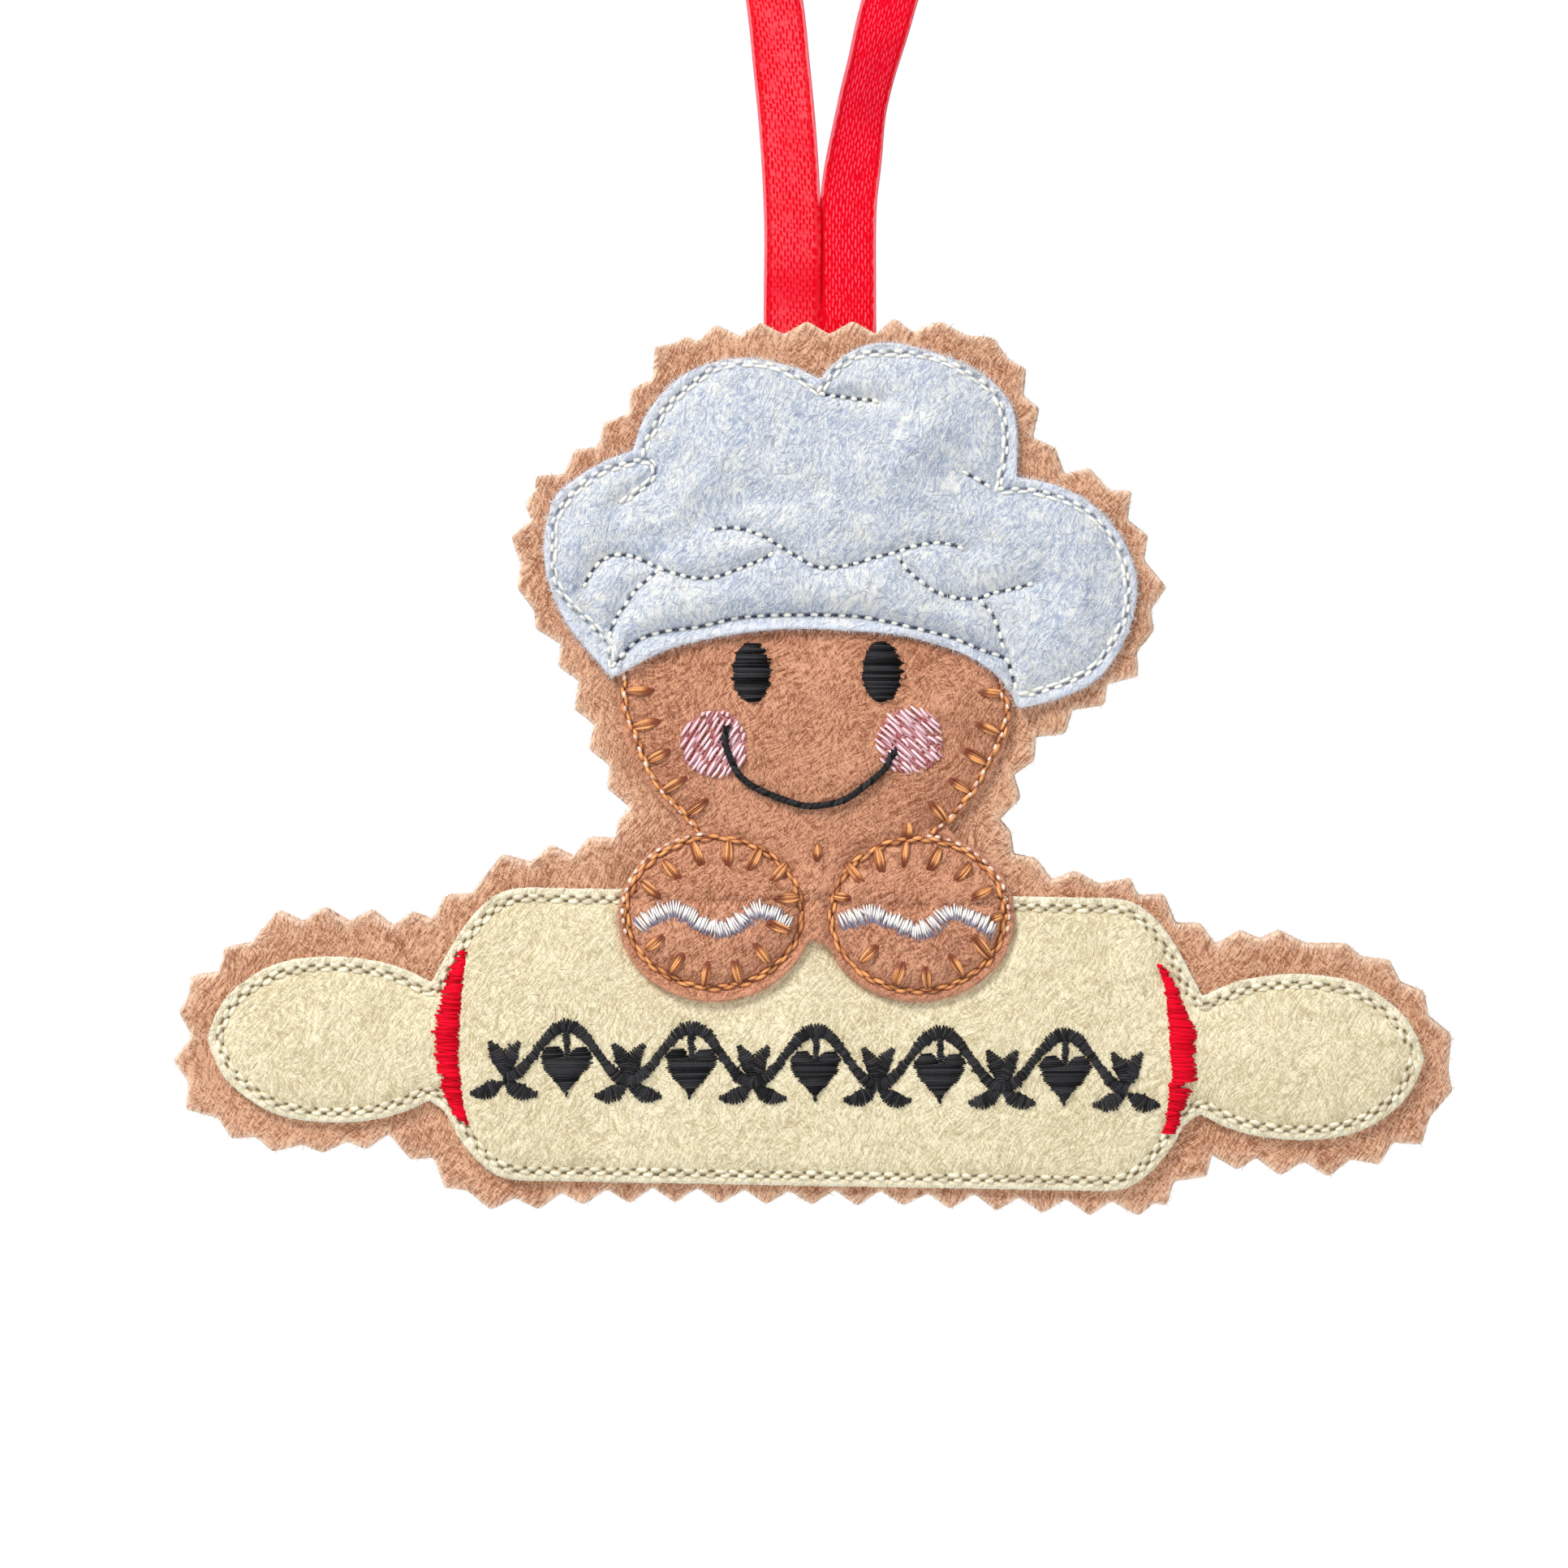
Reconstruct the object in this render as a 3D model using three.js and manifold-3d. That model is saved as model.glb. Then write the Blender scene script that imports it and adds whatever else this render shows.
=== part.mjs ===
// Felt Christmas decoration: a gingerbread baker leans over a rolling pin, hung from a ribbon loop.
// Every length is in millimetres. The decoration hangs in the XZ plane and faces -Y. The origin is
// the inside of the ribbon loop's top, where a hook or a twig carries it.

import * as THREE from 'three';
import { mergeVertices } from 'three/addons/utils/BufferGeometryUtils.js';
import Module from 'manifold-3d';

const wasm = await Module();
wasm.setup();

// Stock: felt, the sheet that stiffens the stitching, satin ribbon
const feltThickness = 1.3;
const stitchedThickness = 0.75;
const stabiliserThickness = 0.3;
const ribbonWidth = 6.35;
const ribbonThickness = 0.3;

// Room that pieces leave each other, and how far a cut runs past what it cuts
const clearance = 0.3;
const overrun = 2;

// Edge left by pinking shears
const toothDepth = 1.8;
const edgeBlend = 1.6;

// Hanging: the loop's top down to the felt, the fold just above the felt, the ends sewn in
const hangDrop = 62;
const foldRise = 1.9;
const foldGap = 0.8;
const tailLength = 11;
const seatMargin = 5.4;

// Ribbon loop: middle of each strand where it leaves the felt, arch, and height of the half twist
const strandOffset = 3.35;
const archRadius = 10;
const archOffset = 0.6;
const twistBottom = 24;
const twistTop = 10;

// Baker's hat
const hatWidth = 65.7;
const hatHeight = 40.4;
const hatOffset = 2.2;
const hatDrop = 2.1;
const hatPuff = 1.5;
const hatMargin = 2.7;
const hatTopMargin = 1.5;

// Gingerbread figure: a head, two paws and the body between them
const headWidth = 44;
const headHeight = 39;
const headOffset = -2.7;
const headRise = 1.7;
const figureMargin = 4.2;
const pawSpacing = 22.6;
const pawWidth = 21.4;
const pawHeight = 18.8;
const pawDrop = 24.9;
const bodyWidth = 12;
const bodyDrop = 26.4;
const bodyBlend = 0.5;
const gingerbreadPuff = 0.6;

// Rolling pin, turned a little clockwise, its handles' axis a little below the barrel's
const barrelLength = 84.6;
const barrelHeight = 32.4;
const handleLength = 25.2;
const handleHeight = 18.2;
const handleDrop = 1;
const pinDrop = 13.6;
const pinTilt = THREE.MathUtils.degToRad(-1.04);
const pinPuff = 0.7;
const barrelMargin = 2.3;
const barrelTopMargin = 3.7;
const handleMargin = 2.9;
const handleTopMargin = 4.1;

// How far inside a cut edge the stitching runs, and how far from a stitch the felt is drawn down
const stitchInset = 1.15;
const grooveReach = 1.1;
const puffReach = 5.5;
const drapeReach = 3;

// Embroidery
const threadPadThickness = 0.45;
const eyeWidth = 4.4;
const eyeHeight = 6.8;
const eyeSpacing = 14.3;
const eyeRise = 2;
const cheekDiameter = 7.4;
const faceOffset = -0.6;
const cheekSpacing = 21.4;
const cheekDrop = 5.8;
const cheekThickness = 0.3;
const smileWidth = 18.3;
const smileDepth = 8.3;
const smileDrop = 4.4;
const smileSweep = THREE.MathUtils.degToRad(163);
const smileThread = 0.9;
const icingLength = 17;
const icingWidth = 1.5;
const icingWave = 2.5;
const icingPitch = 9.8;
const icingDrop = 0.6;
const bandEndInset = 6.5;
const bandLength = barrelHeight - 2 * bandEndInset;
const bandWidth = 3.6;
const bandInset = 1.2;

// Spacing of the points on curved outlines and over the felt
const outlineSpacing = 2.6;
const hatSpacing = 2.7;
const figureSpacing = 2.6;
const pinSpacing = 3.6;
const padSpacing = 1.1;
const contourStep = 1.1;
const ribbonStep = 3.4;
const hair = 0.0004;
const normalReach = 3;

// Hat outline from its left tip over four lobes and back under the brim, as shares of its width
// from the middle and of its height from the top
const hatLobeShares = [
  [[-0.386, 0.915], [-0.463, 0.762], [-0.4986, 0.6], [-0.489, 0.45], [-0.459, 0.388],
    [-0.405, 0.33], [-0.349, 0.294]],
  [[-0.349, 0.294], [-0.327, 0.196], [-0.274, 0.098], [-0.214, 0.053], [-0.144, 0.042],
    [-0.07, 0.071], [-0.034, 0.1]],
  [[-0.034, 0.1], [-0.004, 0.047], [0.04, 0.009], [0.096, 0], [0.197, 0.047], [0.26, 0.111],
    [0.2945, 0.2], [0.297, 0.367]],
  [[0.297, 0.367], [0.371, 0.394], [0.437, 0.459], [0.486, 0.568], [0.5, 0.686],
    [0.479, 0.813], [0.433, 0.92], [0.367, 0.973], [0.301, 1]],
  [[0.301, 1], [0.275, 0.927], [0.214, 0.855], [0.116, 0.804], [0.018, 0.788], [-0.089, 0.782],
    [-0.199, 0.802], [-0.2945, 0.84], [-0.356, 0.891], [-0.386, 0.915]],
];

// Stitched folds of the hat, in the same shares
const hatFoldShares = [
  [[-0.218, 0.519], [-0.136, 0.532], [-0.07, 0.597], [-0.034, 0.624], [0.018, 0.617],
    [0.092, 0.581], [0.162, 0.555], [0.216, 0.579]],
  [[-0.433, 0.675], [-0.405, 0.606], [-0.345, 0.592], [-0.275, 0.641], [-0.201, 0.646],
    [-0.126, 0.597], [-0.104, 0.563]],
  [[-0.305, 0.628], [-0.345, 0.686], [-0.375, 0.755], [-0.39, 0.826]],
  [[0.1, 0.592], [0.136, 0.659], [0.201, 0.708], [0.2575, 0.693], [0.337, 0.659]],
  [[0.234, 0.708], [0.264, 0.777], [0.278, 0.866], [0.301, 0.97]],
  [[-0.327, 0.315], [-0.319, 0.379], [-0.345, 0.414], [-0.371, 0.448]],
  [[-0.034, 0.1425], [0.018, 0.156], [0.074, 0.165]],
  [[0.2096, 0.3586], [0.264, 0.412]],
];

// Upper right quarter of the rolling pin: the barrel's shoulder in shares of its half length and
// half height, then the handle in shares of its length and half height
const shoulderShares = [[0.766, 1], [0.832, 0.965], [0.885, 0.86], [0.93, 0.72], [0.97, 0.54]];
const handleShares = [[0.02, 0.71], [0.172, 0.9], [0.344, 0.99], [0.516, 1], [0.688, 0.92],
  [0.824, 0.72], [0.939, 0.42], [1, 0]];

// Tips and valleys that the pinking shears left, by turns: shares of the way round the cut line, and
// how far out from it, in tooth depths
const pinkingCuts = [
  [0.0002, -0.02], [0.0058, -0.98], [0.0117, -0.09], [0.0177, -0.87], [0.0232, 0.06], [0.0292, -0.88],
  [0.0349, 0.13], [0.0404, -0.71], [0.0463, 0.23], [0.0521, -0.67], [0.0580, 0.33], [0.0635, -0.53],
  [0.0692, 0.70], [0.0737, 0.50], [0.0757, 1.06], [0.0806, 0.25], [0.0868, 1.34], [0.0951, 0.36],
  [0.1020, 0.75], [0.1061, -0.19], [0.1123, 0.70], [0.1179, -0.21], [0.1238, 0.81], [0.1298, -0.01],
  [0.1357, 0.89], [0.1411, 0.10], [0.1463, 1.26], [0.1520, 0.39], [0.1600, 0.69], [0.1641, -0.08],
  [0.1730, 0.12], [0.1793, -0.83], [0.1858, -0.30], [0.1921, -0.85], [0.1975, -0.10], [0.2048, -0.63],
  [0.2094, -0.13], [0.2196, -0.43], [0.2263, 0.42], [0.2310, -0.02], [0.2361, 0.69], [0.2428, -0.17],
  [0.2490, -0.23], [0.2531, -1.45], [0.2610, -0.57], [0.2672, -1.50], [0.2715, -0.67], [0.2794, -1.26],
  [0.2858, -0.55], [0.2903, -1.36], [0.2951, -0.52], [0.3000, -1.17], [0.3035, -0.25], [0.3074, -0.44],
  [0.3134, 0.03], [0.3179, -1.10], [0.3235, -0.34], [0.3285, -1.00], [0.3337, 0.34], [0.3386, -0.65],
  [0.3459, 0.11], [0.3501, -0.78], [0.3566, 0.39], [0.3617, -0.40], [0.3682, 0.08], [0.3733, -0.43],
  [0.3791, 0.41], [0.3868, -0.72], [0.3924, 0.07], [0.3985, -0.50], [0.4032, 0.85], [0.4074, -0.06],
  [0.4143, 0.40], [0.4194, -0.60], [0.4261, 0.93], [0.4315, -0.53], [0.4383, 0.15], [0.4431, -0.38],
  [0.4474, 0.89], [0.4521, 0.76], [0.4573, 1.43], [0.4636, 0.82], [0.4704, 0.76], [0.4763, -0.29],
  [0.4811, 0.47], [0.4857, -0.54], [0.4911, 0.53], [0.4973, 0.03], [0.5030, 1.04], [0.5088, 0.09],
  [0.5146, 0.74], [0.5199, -0.13], [0.5251, 0.65], [0.5306, 0.32], [0.5322, 1.03], [0.5351, 1.03],
  [0.5401, 1.47], [0.5449, -0.08], [0.5504, 0.32], [0.5558, -0.38], [0.5616, 0.68], [0.5667, -0.39],
  [0.5723, 0.09], [0.5782, -0.74], [0.5834, 0.30], [0.5866, -0.07], [0.5903, 0.16], [0.5942, -0.46],
  [0.5989, 0.63], [0.6054, 0.02], [0.6109, 0.53], [0.6175, -0.02], [0.6216, 0.37], [0.6281, -0.54],
  [0.6326, 0.29], [0.6379, -0.50], [0.6442, 0.21], [0.6492, -0.76], [0.6547, -0.01], [0.6606, -0.85],
  [0.6655, -0.08], [0.6718, -0.73], [0.6750, 0.43], [0.6803, -0.40], [0.6856, 0.57], [0.6910, -0.31],
  [0.6964, 0.50], [0.7017, -0.59], [0.7085, 0.18], [0.7205, -1.02], [0.7258, -0.09], [0.7328, -0.35],
  [0.7360, 1.14], [0.7438, -0.05], [0.7494, 0.76], [0.7548, -0.13], [0.7608, 0.76], [0.7663, -0.07],
  [0.7716, 0.87], [0.7800, -0.44], [0.7864, 0.18], [0.7918, -0.77], [0.7968, 0.38], [0.8019, -0.02],
  [0.8058, 0.26], [0.8117, -0.82], [0.8170, 0.74], [0.8231, 0.53], [0.8275, 1.60], [0.8339, 0.59],
  [0.8392, 1.13], [0.8439, 0.29], [0.8488, 0.77], [0.8553, -0.02], [0.8606, 0.36], [0.8667, -0.34],
  [0.8711, 0.22], [0.8775, -0.52], [0.8819, 1.42], [0.8924, 0.56], [0.8991, 1.47], [0.9036, 0.67],
  [0.9102, 0.98], [0.9150, -0.08], [0.9209, 0.56], [0.9265, -0.49], [0.9320, 0.22], [0.9378, -0.77],
  [0.9435, 0.07], [0.9492, -0.93], [0.9547, -0.01], [0.9603, -0.94], [0.9660, 0.01], [0.9720, -0.90],
  [0.9775, -0.01], [0.9831, -0.87], [0.9889, -0.02], [0.9945, -0.96],
];

// Ribbon route as chosen by hand: middle of each strand, left one going up, right one coming down,
// measured from the origin
const leftStrand = [[-3.35, -56], [-3.35, -50], [-3.5, -44], [-3.9, -38.5], [-4.4, -33],
  [-5.1, -26.5], [-6.1, -21], [-7.5, -16], [-8.8, -12]];
const rightStrand = [[10.3, -14], [9.6, -18.5], [8.7, -22.5], [7.7, -26.5], [6.2, -31.5],
  [5.1, -36.5], [4.2, -42], [3.6, -48], [3.35, -53], [3.35, -57]];
const archTurns = 8;

// Heights in front of the middle plane of the two felts
const sheetGap = stabiliserThickness / 2 + clearance;
const frontFace = sheetGap + feltThickness;
const pieceSeat = frontFace + clearance;

const point = (x, z) => new THREE.Vector2(x, z);

// Outlines

function spline(points, spacing) {
  const curve = new THREE.SplineCurve(points);
  return curve.getSpacedPoints(Math.max(2, Math.round(curve.getLength() / spacing)));
}

function ellipse(centre, width, height, spacing) {
  const steps = Math.ceil((Math.PI * (width + height)) / 2 / spacing);
  return Array.from({ length: steps }, (_, i) => {
    const turn = (i / steps) * Math.PI * 2;
    return point(centre.x + (width / 2) * Math.cos(turn), centre.y + (height / 2) * Math.sin(turn));
  });
}

function rectangle(left, right, bottom, top) {
  return [point(left, bottom), point(right, bottom), point(right, top), point(left, top)];
}

function joined(runs) {
  return runs.flatMap((run) => run.slice(0, -1));
}

function distanceToRun(p, run, closed) {
  let least = Infinity;
  for (let i = closed ? 0 : 1; i < run.length; i += 1) {
    const a = run[(i + run.length - 1) % run.length];
    const b = run[i];
    const along = point(b.x - a.x, b.y - a.y);
    const share = ((p.x - a.x) * along.x + (p.y - a.y) * along.y) / along.lengthSq();
    const t = Math.min(1, Math.max(0, share));
    least = Math.min(least, Math.hypot(p.x - a.x - t * along.x, p.y - a.y - t * along.y));
  }
  return least;
}

function isInside(p, outline) {
  let inside = false;
  outline.forEach((b, i) => {
    const a = outline[(i + outline.length - 1) % outline.length];
    const crosses = a.y > p.y !== b.y > p.y;
    if (crosses && p.x < a.x + ((b.x - a.x) * (p.y - a.y)) / (b.y - a.y)) inside = !inside;
  });
  return inside;
}

// Distance to an outline, less than zero inside it
function reach(p, outline) {
  return distanceToRun(p, outline, true) * (isInside(p, outline) ? -1 : 1);
}

function blendedLeast(values, softness) {
  const sum = values.reduce((total, value) => total + Math.exp(-value / softness), 0);
  return -softness * Math.log(sum);
}

function bounds(outlines, margin) {
  const box = new THREE.Box2().setFromPoints(outlines.flat());
  return box.expandByScalar(margin);
}

// Closed line along which a field is zero, by marching over the squares of a grid
function contour(field, box, step) {
  const columns = Math.ceil((box.max.x - box.min.x) / step);
  const rows = Math.ceil((box.max.y - box.min.y) / step);
  const node = (i, j) => point(box.min.x + i * step, box.min.y + j * step);
  const values = Array.from({ length: rows + 1 }, (_, j) => (
    Array.from({ length: columns + 1 }, (__, i) => field(node(i, j)))));
  const crossings = new Map();
  const next = new Map();
  for (let j = 0; j < rows; j += 1) {
    for (let i = 0; i < columns; i += 1) {
      const corners = [[i, j], [i + 1, j], [i + 1, j + 1], [i, j + 1]];
      const edges = corners.map((a, k) => {
        const b = corners[(k + 1) % 4];
        const from = values[a[1]][a[0]];
        const to = values[b[1]][b[0]];
        if (from < 0 === to < 0) return null;
        const key = [a, b].map(String).sort().join(' ');
        crossings.set(key, node(...a).lerp(node(...b), from / (from - to)));
        return { key, leaves: from < 0 };
      });
      edges.forEach((edge, k) => {
        if (!edge?.leaves) return;
        const before = [1, 2, 3].map((back) => edges[(k + 4 - back) % 4]);
        next.set(edge.key, before.find((other) => other).key);
      });
    }
  }
  let longest = [];
  const seen = new Set();
  for (const start of next.keys()) {
    const loop = [];
    for (let key = start; !seen.has(key) && next.has(key); key = next.get(key)) {
      seen.add(key);
      loop.push(crossings.get(key));
    }
    if (loop.length > longest.length) longest = loop;
  }
  return longest;
}

// A closed outline in equal steps along its length, eased a little first
function evenly(outline, count) {
  const eased = outline.map((p, i) => {
    const a = outline[(i + outline.length - 1) % outline.length];
    const b = outline[(i + 1) % outline.length];
    return point((a.x + 2 * p.x + b.x) / 4, (a.y + 2 * p.y + b.y) / 4);
  });
  const closed = [...eased, eased[0]];
  const travelled = [0];
  for (let i = 1; i < closed.length; i += 1) {
    travelled.push(travelled[i - 1] + closed[i].distanceTo(closed[i - 1]));
  }
  const total = travelled.at(-1);
  let k = 1;
  return Array.from({ length: count }, (_, n) => {
    const at = (n / count) * total;
    while (travelled[k] < at) k += 1;
    const share = (at - travelled[k - 1]) / (travelled[k] - travelled[k - 1]);
    return closed[k - 1].clone().lerp(closed[k], share);
  });
}

function perimeter(outline) {
  return outline.reduce((sum, p, i) => (
    sum + p.distanceTo(outline[(i + outline.length - 1) % outline.length])), 0);
}

// Each point moved outwards by an amount of its own
// The point this far along a closed line and this far out from it
function besideLine(line, travel, out) {
  let left = travel;
  let i = 0;
  const next = (k) => line[(k + 1) % line.length];
  while (left > line[i].distanceTo(next(i)) && i < line.length - 1) {
    left -= line[i].distanceTo(next(i));
    i += 1;
  }
  const outward = (k) => {
    const a = line[(k + line.length - normalReach) % line.length];
    const b = line[(k + normalReach) % line.length];
    return point(b.y - a.y, a.x - b.x).normalize();
  };
  const share = Math.min(1, left / line[i].distanceTo(next(i)));
  const normal = outward(i).lerp(outward((i + 1) % line.length), share).normalize();
  return line[i].clone().lerp(next(i), share).addScaledVector(normal, out);
}

function pushedOut(outline, amount) {
  return outline.map((p, i) => {
    const a = outline[(i + outline.length - 1) % outline.length];
    const b = outline[(i + 1) % outline.length];
    const normal = point(b.y - a.y, a.x - b.x).normalize();
    return p.clone().addScaledVector(normal, amount(i));
  });
}

// Shapes of the pieces, seen from the front

const hatTop = -hangDrop - hatDrop;
const hatBottom = hatTop - hatHeight;
const hatPoint = ([across, down]) => point(hatOffset + across * hatWidth, hatTop - down * hatHeight);
const hatOutline = joined(hatLobeShares.map((lobe) => spline(lobe.map(hatPoint), outlineSpacing)))
  .reverse();
const hatFolds = hatFoldShares.map((fold) => spline(fold.map(hatPoint), outlineSpacing));

const headCentre = point(hatOffset + headOffset, hatBottom + headRise);
const pawCentres = [-1, 1].map((side) => (
  point(headCentre.x + (side * pawSpacing) / 2, headCentre.y - pawDrop)));
const headOutline = ellipse(headCentre, headWidth, headHeight, outlineSpacing);
const pawOutlines = pawCentres.map((centre) => ellipse(centre, pawWidth, pawHeight, outlineSpacing));
const bodyOutline = rectangle(
  headCentre.x - bodyWidth / 2,
  headCentre.x + bodyWidth / 2,
  headCentre.y - bodyDrop,
  headCentre.y,
);
const figureParts = [headOutline, ...pawOutlines, bodyOutline];
const figureContour = contour(
  (p) => blendedLeast(figureParts.map((outline) => reach(p, outline)), bodyBlend),
  bounds(figureParts, overrun),
  contourStep,
);
const figureOutline = evenly(figureContour, Math.round(perimeter(figureContour) / outlineSpacing));

const pinCentre = point(headCentre.x, pawCentres[0].y - pinDrop);
const onPin = (p) => p.clone().rotateAround(point(0, 0), pinTilt).add(pinCentre);
const offPin = (p) => p.clone().sub(pinCentre).rotateAround(point(0, 0), -pinTilt);

function pinQuarter(right, up) {
  const shoulder = shoulderShares.map(([along, high]) => (
    point((right * along * barrelLength) / 2, (up * high * barrelHeight) / 2)));
  const handle = handleShares.map(([along, high]) => point(
    right * (barrelLength / 2 + along * handleLength),
    (up * high * handleHeight) / 2 - handleDrop,
  ));
  return [shoulder, handle].map((run) => spline(run, outlineSpacing));
}

function pinShape() {
  const flat = (right, up) => {
    const half = (shoulderShares[0][0] * barrelLength) / 2;
    const steps = Math.round(half / outlineSpacing);
    return Array.from({ length: steps }, (_, i) => (
      point((right * half * i) / steps, (up * barrelHeight) / 2)));
  };
  const quarter = (right, up) => {
    const [shoulder, handle] = pinQuarter(right, up);
    return [...flat(right, up), ...shoulder, ...handle];
  };
  const there = (right, up) => quarter(right, up).slice(0, -1);
  const back = (right, up) => quarter(right, up).slice(1).reverse();
  return [...there(1, 1), ...back(1, -1), ...there(-1, -1), ...back(-1, 1)].reverse();
}

const pinOutline = pinShape().map(onPin);

// Felt that shows round the pieces: narrower over the hat, wider above the pin and round its
// handles
function hatEdgeMargin(p) {
  const share = THREE.MathUtils.smoothstep(p.y, hatTop - hatHeight / 6, hatTop);
  return THREE.MathUtils.lerp(hatMargin, hatTopMargin, share);
}

function pinMargin(p) {
  const { lerp, smoothstep } = THREE.MathUtils;
  const at = offPin(p);
  const above = smoothstep(at.y, -handleHeight / 2, handleHeight / 2);
  const outer = smoothstep(Math.abs(at.x), barrelLength / 2 - handleMargin, barrelLength / 2);
  return lerp(
    lerp(barrelMargin, barrelTopMargin, above),
    lerp(handleMargin, handleTopMargin, above),
    outer,
  );
}

const ribbonSeat = rectangle(
  -strandOffset - ribbonWidth / 2 - seatMargin,
  strandOffset + ribbonWidth / 2 + seatMargin,
  hatTop - tailLength,
  -hangDrop - toothDepth,
);
const cutLine = contour(
  (p) => blendedLeast([
    reach(p, hatOutline) - hatEdgeMargin(p),
    reach(p, figureOutline) - figureMargin,
    reach(p, pinOutline) - pinMargin(p),
    reach(p, ribbonSeat),
  ], edgeBlend),
  bounds([hatOutline, figureOutline, pinOutline, ribbonSeat], figureMargin + overrun),
  contourStep,
);
const cutLength = perimeter(cutLine);
const pinkedOutline = pinkingCuts.map(([share, out]) => (
  besideLine(cutLine, share * cutLength, out * toothDepth)));

const seatHalf = strandOffset + ribbonWidth / 2;
const feltTop = Math.max(...pinkedOutline.filter((p) => Math.abs(p.x) < seatHalf).map((p) => p.y));
const foldHeight = feltTop + foldRise;

// Solids

function mergedOf(geometry) {
  const bare = geometry.clone();
  bare.deleteAttribute('normal');
  bare.deleteAttribute('uv');
  return mergeVertices(bare);
}

function solidOf(geometry) {
  const merged = mergedOf(geometry);
  return new wasm.Manifold(new wasm.Mesh({
    numProp: 3,
    vertProperties: new Float32Array(merged.attributes.position.array),
    triVerts: new Uint32Array(merged.index.array),
  }));
}

function geometryOf(solid) {
  const mesh = solid.getMesh();
  return indexed(Array.from(mesh.vertProperties), Array.from(mesh.triVerts));
}

function indexed(positions, triangles) {
  const geometry = new THREE.BufferGeometry();
  geometry.setAttribute('position', new THREE.Float32BufferAttribute(positions, 3));
  geometry.setIndex(triangles);
  geometry.computeVertexNormals();
  return geometry;
}

// A flat sheet of one thickness, from its back height to its front height
function flatSheet(outline, back, front) {
  const geometry = new THREE.ExtrudeGeometry(new THREE.Shape(outline), {
    depth: front - back,
    bevelEnabled: false,
  });
  geometry.rotateX(Math.PI / 2);
  geometry.translate(0, -back, 0);
  return geometry;
}

// Delaunay triangles of a set of points: each point in turn replaces the triangles whose
// circumcircle holds it. The points are read a hair aside, so that no four tie on one circle.
function delaunay(points) {
  const box = new THREE.Box2().setFromPoints(points);
  const span = box.getSize(point(0, 0)).length() * 20;
  const middle = box.getCenter(point(0, 0));
  const nudged = points.map((p, k) => point(p.x + hair * Math.sin(k * k), p.y + hair * Math.cos(k * k)));
  const all = [...nudged, ...[0, 1, 2].map((k) => {
    const turn = (k * Math.PI * 2) / 3 + 1;
    return point(middle.x + span * Math.cos(turn), middle.y + span * Math.sin(turn));
  })];
  const circled = (corners) => {
    const [a, b, c] = corners.map((k) => all[k]);
    const d = 2 * (a.x * (b.y - c.y) + b.x * (c.y - a.y) + c.x * (a.y - b.y));
    const [sa, sb, sc] = [a, b, c].map((p) => p.lengthSq());
    const centre = point(
      (sa * (b.y - c.y) + sb * (c.y - a.y) + sc * (a.y - b.y)) / d,
      (sa * (c.x - b.x) + sb * (a.x - c.x) + sc * (b.x - a.x)) / d,
    );
    return { corners, centre, radius: centre.distanceTo(a) };
  };
  let triangles = [circled([points.length, points.length + 1, points.length + 2])];
  nudged.forEach((p, index) => {
    const rim = new Map();
    const kept = [];
    triangles.forEach((triangle) => {
      if (triangle.centre.distanceTo(p) >= triangle.radius) {
        kept.push(triangle);
        return;
      }
      triangle.corners.forEach((a, k) => {
        const b = triangle.corners[(k + 1) % 3];
        if (!rim.delete(`${b} ${a}`)) rim.set(`${a} ${b}`, [a, b]);
      });
    });
    triangles = [...kept, ...[...rim.values()].map(([a, b]) => circled([a, b, index]))];
  });
  return triangles.map((t) => t.corners).filter((t) => t.every((k) => k < points.length));
}

// Triangles over a piece of felt: its cut edge, a row along its stitching, rows along its folds
// and a staggered grid between them
function meshed(outline, rows, spacing) {
  const points = [...outline];
  const far = (p, room) => points.every((other) => other.distanceTo(p) > room);
  rows.flat().forEach((p) => {
    if (far(p, spacing * 0.35)) points.push(p);
  });
  const box = bounds([outline], 0);
  const rise = (spacing * Math.sqrt(3)) / 2;
  for (let z = box.min.y + rise / 2, odd = 0; z < box.max.y; z += rise, odd = 1 - odd) {
    for (let x = box.min.x + (odd * spacing) / 2; x < box.max.x; x += spacing) {
      const p = point(x, z);
      if (isInside(p, outline) && far(p, spacing * 0.66)) points.push(p);
    }
  }
  const faces = delaunay(points).filter((face) => {
    const centre = face.reduce((sum, k) => sum.add(points[k]), point(0, 0)).divideScalar(3);
    return isInside(centre, outline);
  });
  return { points, faces, rim: rimOf(faces) };
}

function rimOf(faces) {
  const edges = new Map();
  faces.forEach((face) => face.forEach((a, k) => {
    const b = face[(k + 1) % 3];
    if (!edges.delete(`${b} ${a}`)) edges.set(`${a} ${b}`, [a, b]);
  }));
  const next = new Map(edges.values());
  const rim = [];
  for (let k = next.keys().next().value; rim.length < next.size; k = next.get(k)) rim.push(k);
  return rim;
}

// A solid between two heights over the same triangles; where the back is one level it is
// closed by the few triangles of the rim alone
function slab(mesh, front, back) {
  const positions = mesh.points.flatMap((p, k) => [p.x, -front[k], p.y]);
  const triangles = mesh.faces.flat();
  const count = mesh.points.length;
  const flat = typeof back === 'number';
  mesh.points.forEach((p, k) => positions.push(p.x, flat ? -back : -back[k], p.y));
  mesh.rim.forEach((a, k) => {
    const b = mesh.rim[(k + 1) % mesh.rim.length];
    triangles.push(a, a + count, b, b, a + count, b + count);
  });
  const backFaces = flat
    ? THREE.ShapeUtils.triangulateShape(mesh.rim.map((k) => mesh.points[k]), [])
      .map((face) => face.map((k) => mesh.rim[k]))
    : mesh.faces;
  backFaces.forEach(([a, b, c]) => triangles.push(a + count, c + count, b + count));
  return indexed(positions, triangles);
}

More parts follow.
